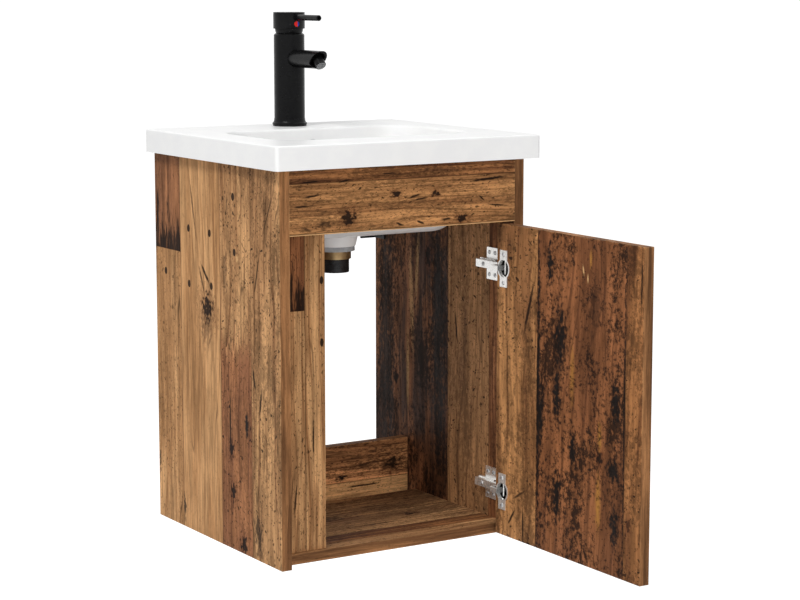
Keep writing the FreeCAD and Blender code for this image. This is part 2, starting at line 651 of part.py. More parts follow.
def make_tap_body():
    """The fixed tap: column, base ring, seals, spout, aerator, cartridge and deck clamp."""
    axis = at(X_MID, TAP_Y, 0)
    bore_r = COLUMN_R - COLUMN_WALL
    column = rod(axis + UP * TAP_Z, UP, COLUMN_R, COLUMN_TOP - TAP_Z)
    shoulder = [e for e in column.Edges if e.BoundBox.ZMin > COLUMN_TOP - NEAR]
    column = column.makeChamfer(COLUMN_SHOULDER, shoulder)
    bore = rod(axis + UP * (TAP_Z + FLOOR_T), UP, bore_r, COLUMN_TOP - TAP_Z - FLOOR_T)
    spout_z = TAP_Z + SPOUT_Z
    face_y = -math.sqrt(COLUMN_R**2 - SPOUT_R**2)
    socket = rod(axis + at(0, -bore_r / 2, spout_z), -BACK, SPOUT_R + JOIN_CLEAR, COLUMN_R)
    socket = socket.common(box(0, CAB_W, 0, TAP_Y + face_y + SPOUT_SOCKET, 0, COLUMN_TOP))
    port = rod(axis + UP * spout_z, -BACK, SPOUT_BORE, COLUMN_R)
    stud = axis + at(0, -STUD_OFFSET, TAP_Z)
    cutters = [bore, socket, port, rod(stud, UP, STUD_R + JOIN_CLEAR, STUD_IN_BODY)]
    for side in (-1, 1):
        inlet = axis + at(side * INLET_OFFSET, INLET_BACK, TAP_Z)
        cutters.append(rod(inlet, UP, INLET_R, FLOOR_T))
    save("tap_body", without(column, cutters))
    ring_bore = COLUMN_R + JOIN_CLEAR
    foot_z = TAP_Z + BASE_FOOT_H
    flare = Part.makeCone(BASE_R, ring_bore + BASE_LIP, BASE_H - BASE_FOOT_H, axis + UP * foot_z, UP)
    base = joined([rod(axis + UP * TAP_Z, UP, BASE_R, BASE_FOOT_H), flare])
    save("tap_base_ring", base.cut(rod(axis + UP * TAP_Z, UP, ring_bore, BASE_H)))
    seal_r = BASE_R - BASE_SEAL_INSET
    save("tap_base_seal", ring(axis + UP * BASIN_TOP, UP, seal_r, TAP_HOLE_R, BASE_SEAL_T))

    root_y = face_y + SPOUT_SOCKET
    tube = ring(axis + at(0, root_y, spout_z), -BACK, SPOUT_R, SPOUT_BORE, SPOUT_REACH + root_y)
    tip = axis + at(0, -SPOUT_REACH, spout_z + SPOUT_R)
    slant = at(0, -1, -1).normalize()
    far = 4 * SPOUT_R
    wedge = Part.makeBox(far, far, far, at(-far / 2, -far / 2, 0))
    wedge = wedge.transformed(FreeCAD.Placement(tip, FreeCAD.Rotation(UP, slant)).toMatrix())
    save("tap_spout", tube.cut(wedge))
    face = axis + at(0, -SPOUT_REACH + SPOUT_R, spout_z)
    insert = rod(face - slant * AERATOR_T, slant, AERATOR_R, AERATOR_T)
    inside = rod(axis + at(0, 0, spout_z), -BACK, SPOUT_BORE - JOIN_CLEAR, SPOUT_REACH + SPOUT_R)
    nozzle = rod(face - slant * AERATOR_T, slant, NOZZLE_R, AERATOR_T + NOZZLE_L)
    save("tap_aerator", joined([insert.common(inside), nozzle]))

    cartridge_z = COLUMN_TOP - CARTRIDGE_H
    cartridge = rod(axis + UP * cartridge_z, UP, bore_r - JOIN_CLEAR, CARTRIDGE_H)
    well_h = SPIGOT_L + CARTRIDGE_FIT
    well = rod(axis + UP * (COLUMN_TOP - well_h), UP, SPIGOT_R + SPIGOT_FIT, well_h)
    save("tap_cartridge", cartridge.cut(well))

    save("tap_stud", rod(stud + UP * (STUD_IN_BODY - STUD_L), UP, STUD_R, STUD_L))
    level = DECK_UNDER
    slot_half = INLET_OFFSET + INLET_R + CLAMP_SLOT_CLEAR
    slot = box(X_MID - slot_half, X_MID + slot_half, TAP_Y, TAP_Y + CLAMP_R, CAB_H, DECK_UNDER)
    stud_hole = rod(stud - UP * STUD_L, UP, STUD_R + CLAMP_CLEAR, 2 * STUD_L)
    for name, thick in (("tap_clamp_seal", CLAMP_SEAL_T), ("tap_clamp_plate", CLAMP_PLATE_T)):
        level -= thick
        disc = rod(axis + UP * level, UP, CLAMP_R, thick)
        save(name, without(disc, [slot, stud_hole]))
    corners = []
    for i in range(STUD_NUT_SIDES + 1):
        turn = math.tau * i / STUD_NUT_SIDES
        corners.append(stud + at(STUD_NUT_R * math.cos(turn), STUD_NUT_R * math.sin(turn), level - TAP_Z))
    nut = Part.Face(Part.makePolygon(corners)).extrude(-UP * STUD_NUT_T)
    save("tap_clamp_nut", nut.cut(rod(stud - UP * STUD_L, UP, STUD_R + THREAD_FIT, 2 * STUD_L)))


def make_tap_handle():
    """The moving tap: turning carrier with its dome and tilt pin, and the lifting head with lever."""
    axis = at(X_MID, TAP_Y, 0)
    pivot = axis + UP * PIVOT_Z
    dome = Part.makeSphere(DOME_R, pivot)
    keep = box(0, CAB_W, 0, CAB_D, COLUMN_TOP + CARTRIDGE_FIT, PIVOT_Z + DOME_TOP)
    spigot = rod(axis + UP * (COLUMN_TOP - SPIGOT_L), UP, SPIGOT_R, SPIGOT_L + STEM_BELOW)
    half = STEM_W / 2 + STEM_FIT
    sway = half + (DOME_TOP + STEM_W) * math.tan(math.radians(TILT))
    slot = box(
        X_MID - half, X_MID + half, TAP_Y - sway, TAP_Y + sway,
        PIVOT_Z - STEM_BELOW - STEM_FLOOR_GAP, PIVOT_Z + DOME_TOP,
    )
    pin = rod(pivot - ACROSS * TILT_PIN_HALF, ACROSS, TILT_PIN_R, 2 * TILT_PIN_HALF)
    pin_hole = rod(pivot - ACROSS * DOME_R, ACROSS, TILT_PIN_R + JOIN_CLEAR, 2 * DOME_R)
    save("tap_carrier", without(joined([dome.common(keep), spigot]), [slot, pin_hole]))
    save("tap_tilt_pin", pin)

    head_top = HEAD_RIM + HEAD_H
    roof_z = head_top - HEAD_ROOF
    stem_top = roof_z + STEM_SOCKET
    stem = box(
        X_MID - STEM_W / 2, X_MID + STEM_W / 2, TAP_Y - STEM_W / 2, TAP_Y + STEM_W / 2,
        PIVOT_Z - STEM_BELOW, stem_top,
    )
    foot = rod(pivot - ACROSS * STEM_W / 2, ACROSS, STEM_BELOW, STEM_W)
    stem = stem.cut(box(0, CAB_W, 0, CAB_D, PIVOT_Z - STEM_BELOW, PIVOT_Z)).fuse(foot).removeSplitter()
    save("tap_stem", stem.cut(rod(pivot - ACROSS * STEM_W, ACROSS, TILT_PIN_R + PIN_FIT, 2 * STEM_W)))

    head = rod(axis + UP * HEAD_RIM, UP, HEAD_R, HEAD_H)
    top = [e for e in head.Edges if e.BoundBox.ZMin > head_top - NEAR]
    head = head.makeChamfer(HEAD_CHAMFER, top)
    hollow = Part.makeSphere(DOME_R + DOME_GAP, pivot).common(box(0, CAB_W, 0, CAB_D, HEAD_RIM, roof_z))
    lever_z = head_top - LEVER_DROP
    lever_y = -(HEAD_R - LEVER_ROOT)
    lever_room = rod(axis + at(0, lever_y, lever_z), -BACK, LEVER_R + JOIN_CLEAR, HEAD_R)
    mark_z = PIVOT_Z + MARK_HEIGHT
    mark_y = -(HEAD_R + MARK_PROUD)
    mark_room = rod(axis + at(0, mark_y, mark_z), BACK, MARK_R + JOIN_CLEAR, MARK_T + MARK_PROUD)
    socket = box(
        X_MID - STEM_W / 2 - JOIN_CLEAR, X_MID + STEM_W / 2 + JOIN_CLEAR,
        TAP_Y - STEM_W / 2 - JOIN_CLEAR, TAP_Y + STEM_W / 2 + JOIN_CLEAR, roof_z, stem_top,
    )
    save("tap_head", without(head, [hollow, lever_room, mark_room, socket]))
    lever = rod(axis + at(0, lever_y, lever_z), -BACK, LEVER_R, LEVER_REACH + lever_y)
    collar = ring(
        axis + at(0, -HEAD_R, lever_z), -BACK, LEVER_COLLAR_R, LEVER_R - JOIN_CLEAR, LEVER_COLLAR_L
    )
    end_bore = rod(axis + at(0, -LEVER_REACH, lever_z), BACK, LEVER_END_BORE, LEVER_END_DEPTH)
    save("tap_lever", joined([lever, collar]).cut(end_bore))
    disc = rod(axis + at(0, mark_y, mark_z), BACK, MARK_R, MARK_T + MARK_PROUD)
    split_x = X_MID + MARK_SPLIT
    save("hot_mark", disc.common(box(0, split_x, 0, CAB_D, 0, PIVOT_Z + HEAD_H)))
    save("cold_mark", disc.common(box(split_x, CAB_W, 0, CAB_D, 0, PIVOT_Z + HEAD_H)))


os.makedirs("parts", exist_ok=True)
make_cabinet()
make_door()
make_basin()
make_waste()
make_tap_body()
make_tap_handle()
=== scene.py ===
"""Dress the vanity unit: worn plank boards, a white glazed basin, a black tap and bright hinges."""

import json
import logging
import math
from dataclasses import dataclass, field
from enum import Enum
from typing import Callable, NamedTuple, Optional, Sequence, Union

import bmesh
import bpy
from mathutils import Euler, Matrix, Vector


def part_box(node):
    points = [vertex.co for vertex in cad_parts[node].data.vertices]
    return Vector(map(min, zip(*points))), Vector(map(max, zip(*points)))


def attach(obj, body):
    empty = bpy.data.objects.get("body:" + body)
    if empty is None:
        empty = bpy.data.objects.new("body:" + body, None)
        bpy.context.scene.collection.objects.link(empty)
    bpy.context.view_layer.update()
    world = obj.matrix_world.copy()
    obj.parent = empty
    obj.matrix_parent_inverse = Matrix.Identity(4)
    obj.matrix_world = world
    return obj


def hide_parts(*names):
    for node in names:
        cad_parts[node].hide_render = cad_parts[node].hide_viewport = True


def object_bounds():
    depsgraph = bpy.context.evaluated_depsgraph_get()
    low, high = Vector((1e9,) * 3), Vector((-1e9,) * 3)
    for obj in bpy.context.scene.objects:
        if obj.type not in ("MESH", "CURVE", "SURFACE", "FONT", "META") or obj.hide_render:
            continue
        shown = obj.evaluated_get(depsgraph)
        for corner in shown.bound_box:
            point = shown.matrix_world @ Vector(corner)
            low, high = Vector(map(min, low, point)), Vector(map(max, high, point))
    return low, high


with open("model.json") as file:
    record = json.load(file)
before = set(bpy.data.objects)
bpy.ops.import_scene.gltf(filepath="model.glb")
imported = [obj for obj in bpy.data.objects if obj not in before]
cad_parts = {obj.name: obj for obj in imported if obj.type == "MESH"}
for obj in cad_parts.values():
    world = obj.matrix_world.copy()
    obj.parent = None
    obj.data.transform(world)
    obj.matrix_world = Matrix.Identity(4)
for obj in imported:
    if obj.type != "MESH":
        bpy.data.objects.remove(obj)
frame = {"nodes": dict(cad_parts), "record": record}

LOG = logging.getLogger("vanity_unit")
MM = 0.001
WELD = 0.00001
ORDER_DIGITS = 4
CAD_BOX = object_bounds()

Colour = tuple[float, float, float]
Pair = tuple[float, float]
Node, Socket, Tree = bpy.types.Node, bpy.types.NodeSocket, bpy.types.NodeTree
Material, Mesh = bpy.types.Material, bpy.types.Mesh
Feed = Union[float, Sequence[float], "Wire"]
Key = Union[int, str]

HALF = (0.5, 0.5, 0.5)
FLAT = (1.0, 1.0, 0.0)
WHITE = (1.0, 1.0, 1.0, 1.0)
UPWARD = Vector((0, 0, 1))
BUMP_DEPTH = 0.0002


def screen(red: int, green: int, blue: int) -> Colour:
    """Turn a colour as a screen shows it into the linear colour that a shader takes.

    Args:
        red: Red, 0 to 255.
        green: Green, 0 to 255.
        blue: Blue, 0 to 255.

    Returns:
        The three linear parts, 0 to 1.
    """
    knee, slope, lift, power = 0.04045, 12.92, 0.055, 2.4
    parts = []
    for part in (red / 255, green / 255, blue / 255):
        parts.append(part / slope if part <= knee else ((part + lift) / (1 + lift)) ** power)
    return tuple(parts)


# The first colour is the near-black painted shade inside the hinge cups.
CUP_PAINTED_SHADE = screen(22, 22, 23)
COAL = screen(20, 12, 8)
EMBER = screen(96, 50, 28)
# Pale worn wood, for chips, and also a painted highlight along board edges.
WORN_AND_HIGHLIGHT = screen(214, 168, 116)
AMBER = screen(176, 122, 58)
BAND = screen(158, 110, 70)
BAND_DARK = screen(108, 72, 44)


class Axis(Enum):
    """The three directions of the shared frame."""

    X = 0
    Y = 1
    Z = 2


class Facing(Enum):
    """Which way a screw head looks, as the turn of a head that looks up."""

    LEFT = (0.0, -math.pi / 2, 0.0)
    RIGHT = (0.0, math.pi / 2, 0.0)


class MarkKind(Enum):
    """What a mark in the wood is: how ragged its outline is, and how far out it keeps its full strength."""

    KNOT = (2.6, 0.45)
    NAIL = (0.3, 0.8)
    CRACK = (0.9, 0.35)
    STAIN = (2.2, 0.3)
    GLOW = (0.9, 0.1)
    CHIP = (0.4, 0.3)


class Layer(NamedTuple):
    """One layer of noise: waves per metre in each direction, finer layers and how strong they are."""

    stretch: Colour
    detail: float
    rough: float = 0.5


class Wire:
    """A node's output that takes part in sums like a number or a vector."""

    def __init__(self, sheet: "NodeSheet", socket: Socket) -> None:
        """Keep the output and the sheet that its node lies on."""
        self.sheet, self.socket = sheet, socket

    def join(self, operation: str, other: Feed = 0.0) -> "Wire":
        """Join this value or vector with another one by a named sum."""
        join = self.sheet.math if self.socket.type == "VALUE" else self.sheet.vector
        return join(operation, self, other)

    def __add__(self, other: Feed) -> "Wire":
        """Add a value or vector."""
        return self.join("ADD", other)

    def __sub__(self, other: Feed) -> "Wire":
        """Take a value or vector away."""
        return self.join("SUBTRACT", other)

    def __mul__(self, other: Feed) -> "Wire":
        """Multiply by a value or vector."""
        return self.join("MULTIPLY", other)

    def __truediv__(self, other: Feed) -> "Wire":
        """Divide by a value or vector."""
        return self.join("DIVIDE", other)

    def most(self, other: Feed) -> "Wire":
        """Keep the larger of two."""
        return self.join("MAXIMUM", other)

    def least(self, other: Feed) -> "Wire":
        """Keep the smaller of two."""
        return self.join("MINIMUM", other)

    def remap(self, low: Feed, high: Feed, to_low: Feed = 0.0, to_high: Feed = 1.0,
              smooth: bool = True) -> "Wire":
        """Stretch a range of values onto another range and hold it at both ends.

        Args:
            low: Where the range starts.
            high: Where it ends.
            to_low: What the start becomes.
            to_high: What the end becomes.
            smooth: Whether it eases in and out.

        Returns:
            The new value.
        """
        feeds = {"Value": self, "From Min": low, "From Max": high, "To Min": to_low, "To Max": to_high}
        kind = "SMOOTHSTEP" if smooth else "LINEAR"
        return self.sheet.made("ShaderNodeMapRange", "Result", feeds, interpolation_type=kind)


class NodeSheet:
    """Adds nodes to one tree and links them with few words."""

    def __init__(self, tree: Tree) -> None:
        """Keep the tree that the nodes go into."""
        self.tree = tree

    def node(self, kind: str, **settings: object) -> Node:
        """Add one node with the given properties.

        Args:
            kind: The node's type name.
            settings: Properties of the node.

        Returns:
            The node.
        """
        node = self.tree.nodes.new(kind)
        for name, value in settings.items():
            setattr(node, name, value)
        return node

    def feed(self, socket: Socket, value: Feed) -> None:
        """Link a socket to a wire, or set its own value.

        Args:
            socket: A node's input.
            value: The wire, number, vector or colour.
        """
        if isinstance(value, Wire):
            self.tree.links.new(value.socket, socket)
        elif socket.type == "RGBA" and len(value) == 3:
            socket.default_value = (*value, 1.0)
        else:
            socket.default_value = value

    def made(self, kind: str, output: Key, feeds: dict[Key, Feed], **settings: object) -> Wire:
        """Add one node and feed it.

        Args:
            kind: The node's type name.
            output: Which output is wanted.
            feeds: What goes into its inputs.
            settings: Properties of the node.

        Returns:
            The wanted output.
        """
        node = self.node(kind, **settings)
        for socket, value in feeds.items():
            self.feed(node.inputs[socket], value)
        return Wire(self, node.outputs[output])

    def math(self, operation: str, first: Feed, second: Feed = 0.0) -> Wire:
        """Join two values by one sum."""
        return self.made("ShaderNodeMath", 0, {0: first, 1: second}, operation=operation)

    def vector(self, operation: str, first: Feed, second: Feed = (0.0, 0.0, 0.0)) -> Wire:
        """Join two vectors by one sum; a length comes out as a value."""
        output = "Value" if operation == "LENGTH" else "Vector"
        return self.made("ShaderNodeVectorMath", output, {0: first, 1: second}, operation=operation)

    def scaled(self, vector: Feed, factor: Feed) -> Wire:
        """Make a vector longer or shorter."""
        feeds = {0: vector, "Scale": factor}
        return self.made("ShaderNodeVectorMath", "Vector", feeds, operation="SCALE")

    def triple(self, x: Feed = 0.0, y: Feed = 0.0, z: Feed = 0.0) -> Wire:
        """Join three values into a vector."""
        return self.made("ShaderNodeCombineXYZ", 0, {0: x, 1: y, 2: z})

    def apart(self, value: Feed, kind: str = "XYZ") -> list[Wire]:
        """Take a vector (XYZ) or a colour (Color) apart into its three values."""
        first = self.made(f"ShaderNodeSeparate{kind}", 0, {0: value})
        return [Wire(self, socket) for socket in first.socket.node.outputs]

    def noise(self, vector: Feed, layer: Layer, output: int = 0) -> Wire:
        """Read one layer of noise at a place in metres, as a value (0) or a colour (1).

        Args:
            vector: The place.
            layer: The noise's fineness.
            output: Which of the two.

        Returns:
            The noise.
        """
        feeds = {"Vector": self.vector("MULTIPLY", vector, layer.stretch), "Scale": 1.0,
                 "Detail": layer.detail, "Roughness": layer.rough}
        return self.made("ShaderNodeTexNoise", output, feeds)

    def stir(self, vector: Feed, layer: Layer) -> Wire:
        """Read one layer of noise as a small vector to either side of nought."""
        return self.noise(vector, layer, 1) - HALF

    def mix(self, amount: Feed, first: Feed, second: Feed, blend: str = "MIX") -> Wire:
        """Lay one colour over another by an amount."""
        feeds = {0: amount, 6: first, 7: second}
        return self.made("ShaderNodeMix", 2, feeds, data_type="RGBA", blend_type=blend)

    def steps(self, value: Feed, stops: Sequence[tuple[float, Colour]]) -> Wire:
        """Pick a colour by ranges of a value, with a hard change at each stop.

        Args:
            value: What picks.
            stops: Where each range starts, with its colour.

        Returns:
            The colour.
        """
        picked = self.made("ShaderNodeValToRGB", 0, {0: value})
        ramp = picked.socket.node.color_ramp
        ramp.interpolation = "CONSTANT"
        elements = ramp.elements
        while len(elements) > 1:
            elements.remove(elements[-1])
        elements[0].position, elements[0].color = stops[0][0], (*stops[0][1], 1.0)
        for place, colour in stops[1:]:
            elements.new(place).color = (*colour, 1.0)
        return picked

    def group(self, tree: Tree, **values: Feed) -> dict[str, Wire]:
        """Place a shared effect with its own values and give its outputs by name.

        Args:
            tree: The effect's group.
            values: Its inputs by name.

        Returns:
            Its outputs.
        """
        node = self.node("ShaderNodeGroup", node_tree=tree)
        for name, value in values.items():
            self.feed(node.inputs[name], value)
        return {socket.name: Wire(self, socket) for socket in node.outputs}


def effect(name: str, takes: dict[str, str], gives: Sequence[str],
           draw: Callable[..., Sequence[Wire]]) -> Tree:
    """Build one shared shader node group that gives values.

    Args:
        name: The group's name.
        takes: The kind of each named input.
        gives: The names of its outputs.
        draw: Takes the sheet and the inputs, and gives the outputs in order.

    Returns:
        The group.
    """
    tree = bpy.data.node_groups.new(name, "ShaderNodeTree")
    for socket, kind in takes.items():
        tree.interface.new_socket(name=socket, in_out="INPUT", socket_type=f"NodeSocket{kind}")
    for socket in gives:
        tree.interface.new_socket(name=socket, in_out="OUTPUT", socket_type="NodeSocketFloat")
    sheet = NodeSheet(tree)
    given = sheet.node("NodeGroupInput").outputs
    result = sheet.node("NodeGroupOutput").inputs
    drawn = draw(sheet, *(Wire(sheet, given[socket]) for socket in takes))
    for socket, wire in zip(gives, drawn):
        sheet.feed(result[socket], wire)
    return tree


class SharedEffects:
    """The shader node groups that more than one material uses, each built once."""

    PLANK_STEP = (3.1, 7.7, 5.3)
    SWAY, SWAY_REACH = Layer((5.0, 2.4, 5.0), 1.0), (0.016, 0.0, 0.016)
    FIBRE, HAIR = Layer((250.0, 8.0, 250.0), 4.0, 0.7), Layer((900.0, 34.0, 900.0), 3.0, 0.6)
    STREAK, BLOTCH = Layer((58.0, 3.4, 58.0), 4.0, 0.62), Layer((13.0, 3.2, 13.0), 3.0, 0.55)
    SPECKS, CLOUD = Layer((430.0, 120.0, 430.0), 5.0, 0.75), Layer((44.0, 8.0, 44.0), 5.0, 0.68)
    ARCH, ARCH_TURNS, LINES_APART = Layer((16.0, 1.4, 16.0), 3.0), 42.0, 760.0
    LINE_FADE = Layer((70.0, 5.0, 70.0), 3.0, 0.6)
    COARSE_PITS, FINE_PITS = (300.0, 110.0, 300.0), (520.0, 200.0, 520.0)
    COARSE_CLUMPS, FINE_CLUMPS = Layer((15.0, 8.0, 15.0), 2.0), Layer((11.0, 9.0, 11.0), 2.0)
    PIT_STIR, PIT_STIR_REACH = Layer((260.0, 160.0, 260.0), 2.0), (0.004, 0.006, 0.004)
    PIT_LEAN, PIT_LEAN_REACH = Layer((26.0, 30.0, 26.0), 1.0), (0.02, 0.0, 0.02)
    SPLIT, SPLIT_PATCH = Layer((26.0, 1.6, 26.0), 3.0, 0.55), Layer((12.0, 6.0, 12.0), 2.0)
    MARK_STIR, KNOT_RINGS = Layer((190.0, 130.0, 190.0), 3.0), 17.0
    BLOCK_END, FLAME = Layer((170.0, 12.0, 170.0), 2.0), Layer((110.0, 14.0, 110.0), 4.0, 0.7)
    BLOCK_SIDE, BLOCK_SLACK = 0.0012, 0.0002
    TONE, GRIT = Layer((0.06,) * 3, 3.0, 0.6), Layer((1.0,) * 3, 2.0, 0.6)
    SMUDGE = Layer((0.02, 0.02, 0.03), 2.0)
    TOOL_LINES, METAL_SMUDGE = Layer((1.0,) * 3, 3.0, 0.6), Layer((110.0,) * 3, 2.0)

    def __init__(self) -> None:
        """Build every group."""
        spot = {"Vector": "Vector"}
        box = {**spot, "Low": "Vector", "High": "Vector"}
        self.grain = effect("old_wood_grain", {**spot, "Plank": "Float"},
                            ("Fibre", "Streak", "Hairs", "Pits", "Splits", "Mottle", "Blotch"), self._grain)
        self.mark = effect("wood_mark", {**spot, "Centre": "Vector", "Reach": "Vector", "Tilt": "Float",
                                         "Ragged": "Float", "Core": "Float"}, ("Mask", "Rings"), self._mark)
        self.block = effect("plank_block", {**box, "Fade": "Float", "Burn": "Float"},
                            ("Mask", "Burnt"), self._block)
        self.edge = effect("board_edge", {**box, "Width": "Float"}, ("Mask",), self._edge)
        self.speckle = effect("fine_speckle", {**spot, "Scale": "Float"},
                              ("Tone", "Grit", "Smudge"), self._speckle)
        self.brushed = effect("brushed_marks", {**spot, "Stretch": "Vector"},
                              ("Lines", "Smudge"), self._brushed)

    def _grain(self, sheet: NodeSheet, place: Wire, plank: Wire) -> Sequence[Wire]:
        """Old wood seen along its grain: fibres, streaks, hair lines, pits, splits, mottle and blotches.

        Args:
            sheet: The group's node sheet.
            place: Across, along and through the grain.
            plank: The plank's number.

        Returns:
            The seven values in that order.
        """
        own = place + sheet.scaled(self.PLANK_STEP, plank)
        bent = own + sheet.stir(own, self.SWAY) * self.SWAY_REACH
        fibre = sheet.noise(bent, self.FIBRE) * 0.75 + sheet.noise(bent, self.HAIR) * 0.25
        coarse = self._pits(sheet, bent, own, self.COARSE_PITS, self.COARSE_CLUMPS)
        fine = self._pits(sheet, bent, own, self.FINE_PITS, self.FINE_CLUMPS)
        mottle = sheet.noise(bent, self.SPECKS) * 0.55 + sheet.noise(own, self.CLOUD) * 0.45
        return (fibre, sheet.noise(bent, self.STREAK), self._hairs(sheet, bent, own), coarse.most(fine),
                self._splits(sheet, bent, own), mottle.remap(0.47, 0.565), sheet.noise(own, self.BLOTCH))

    def _hairs(self, sheet: NodeSheet, bent: Wire, own: Wire) -> Wire:
        """Thin dark growth lines that run the length of a plank and fade in and out.

        Args:
            sheet: The group's node sheet.
            bent: The place, bent with the grain.
            own: The place, shifted for each plank.

        Returns:
            Their mask.
        """
        arch = sheet.noise(bent, self.ARCH) * self.ARCH_TURNS
        wave = (sheet.apart(bent)[0] * self.LINES_APART + arch).join("SINE")
        return wave.remap(0.62, 1.0) * sheet.noise(own, self.LINE_FADE).remap(0.36, 0.62)

    def _pits(self, sheet: NodeSheet, bent: Wire, own: Wire, fineness: Colour, clumps: Layer) -> Wire:
        """Short dark ticks that lie along the grain, in clumps.

        Args:
            sheet: The group's node sheet.
            bent: The place, bent with the grain.
            own: The place, shifted for each plank.
            fineness: Cells per metre in each direction.
            clumps: The noise of the clumps.

        Returns:
            Their mask.
        """
        slanted = bent + sheet.stir(own, self.PIT_LEAN) * self.PIT_LEAN_REACH
        ragged = slanted + sheet.stir(own, self.PIT_STIR) * self.PIT_STIR_REACH
        far = sheet.made("ShaderNodeTexVoronoi", "Distance", {"Vector": ragged * fineness, "Scale": 1.0},
                         feature="F1")
        chance = sheet.apart(Wire(sheet, far.socket.node.outputs["Color"]), "Color")
        size = chance[0].remap(0.1, 1.0, 0.0, 0.46, False)
        tick = far.remap(size * 0.6, size + 0.01, 1.0, 0.0)
        depth = chance[1].remap(0.0, 1.0, 0.4, 1.0, False)
        return tick * depth * sheet.noise(own, clumps).remap(0.3, 0.46)

    def _splits(self, sheet: NodeSheet, bent: Wire, own: Wire) -> Wire:
        """Long hair cracks along the grain, in patches."""
        off = (sheet.noise(bent, self.SPLIT) - 0.5).join("ABSOLUTE")
        return off.remap(0.0, 0.012, 1.0, 0.0) * sheet.noise(own, self.SPLIT_PATCH).remap(0.5, 0.6)

    def _mark(self, sheet: NodeSheet, place: Wire, centre: Wire, reach: Wire, tilt: Wire, ragged: Wire,
              core: Wire) -> Sequence[Wire]:
        """One ragged oval mark, with the rings that a knot has.

        Args:
            sheet: The group's node sheet.
            place: Across, along and through the grain.
            centre: The mark's middle.
            reach: How far it reaches.
            tilt: Its turn.
            ragged: How ragged its outline is.
            core: How far out it keeps its full strength.

        Returns:
            The masks of the mark and of its rings.
        """
        feeds = {"Vector": (place - centre) * FLAT, "Angle": tilt}
        turned_away = sheet.made("ShaderNodeVectorRotate", 0, feeds, rotation_type="Z_AXIS")
        stirred = turned_away / reach + sheet.scaled(sheet.stir(place, self.MARK_STIR), ragged)
        far = sheet.vector("LENGTH", stirred * FLAT)
        rings = (far * self.KNOT_RINGS).join("SINE").remap(0.0, 0.9)
        return far.remap(core, 1.0, 1.0, 0.0), rings * far.remap(0.9, 1.25, 1.0, 0.0)

    def _block(self, sheet: NodeSheet, place: Wire, low: Wire, high: Wire, fade: Wire,
               burn: Wire) -> Sequence[Wire]:
        """A short plank let into a board, with a burnt lower end.

        Args:
            sheet: The group's node sheet.
            place: Across, along and through the grain.
            low: Its low corner.
            high: Its high corner.
            fade: How ragged its ends are.
            burn: How far up it is burnt.

        Returns:
            The masks of the plank and of its burnt end.
        """
        above, below = sheet.apart(place - low), sheet.apart(high - place)
        swing = (sheet.noise(place, self.BLOCK_END) - 0.5) * fade
        ends = (above[1].least(below[1]) + swing).remap(0.0, fade + self.BLOCK_SLACK)
        mask = above[0].least(below[0]).remap(0.0, self.BLOCK_SIDE) * ends
        lick = (sheet.noise(place, self.FLAME) - 0.52) * (burn * 4.5)
        return mask, mask * (above[1] - lick).remap(burn * 0.25, burn, 1.0, 0.0)

    @staticmethod
    def _edge(sheet: NodeSheet, place: Wire, low: Wire, high: Wire, width: Wire) -> Sequence[Wire]:
        """A mask along the edges of a board, from the board's own box.

        Args:
            sheet: The group's node sheet.
            place: Where it is read.
            low: The box's low corner.
            high: Its high corner.
            width: How far in the mask reaches.

        Returns:
            The mask.
        """
        first, second, third = sheet.apart((place - low).least(high - place))
        middle = first.least(second).most(first.most(second).least(third))
        return (middle.remap(0.0, width, 1.0, 0.0),)

    def _speckle(self, sheet: NodeSheet, vector: Wire, scale: Wire) -> Sequence[Wire]:
        """Fine grit, a slow change of tone and soft smudges, for paint, plastic and glaze.

        Args:
            sheet: The group's node sheet.
            vector: Where it is read.
            scale: How fine it is.

        Returns:
            Tone, grit and smudges.
        """
        place = sheet.scaled(vector, scale)
        smudge = sheet.noise(place, self.SMUDGE).remap(0.35, 0.7)
        return sheet.noise(place, self.TONE), sheet.noise(place, self.GRIT), smudge

    def _brushed(self, sheet: NodeSheet, place: Wire, stretch: Wire) -> Sequence[Wire]:
        """Fine lines that a tool leaves in metal, with soft smudges between."""
        smudge = sheet.noise(place, self.METAL_SMUDGE).remap(0.4, 0.7)
        return sheet.noise(place * stretch, self.TOOL_LINES), smudge


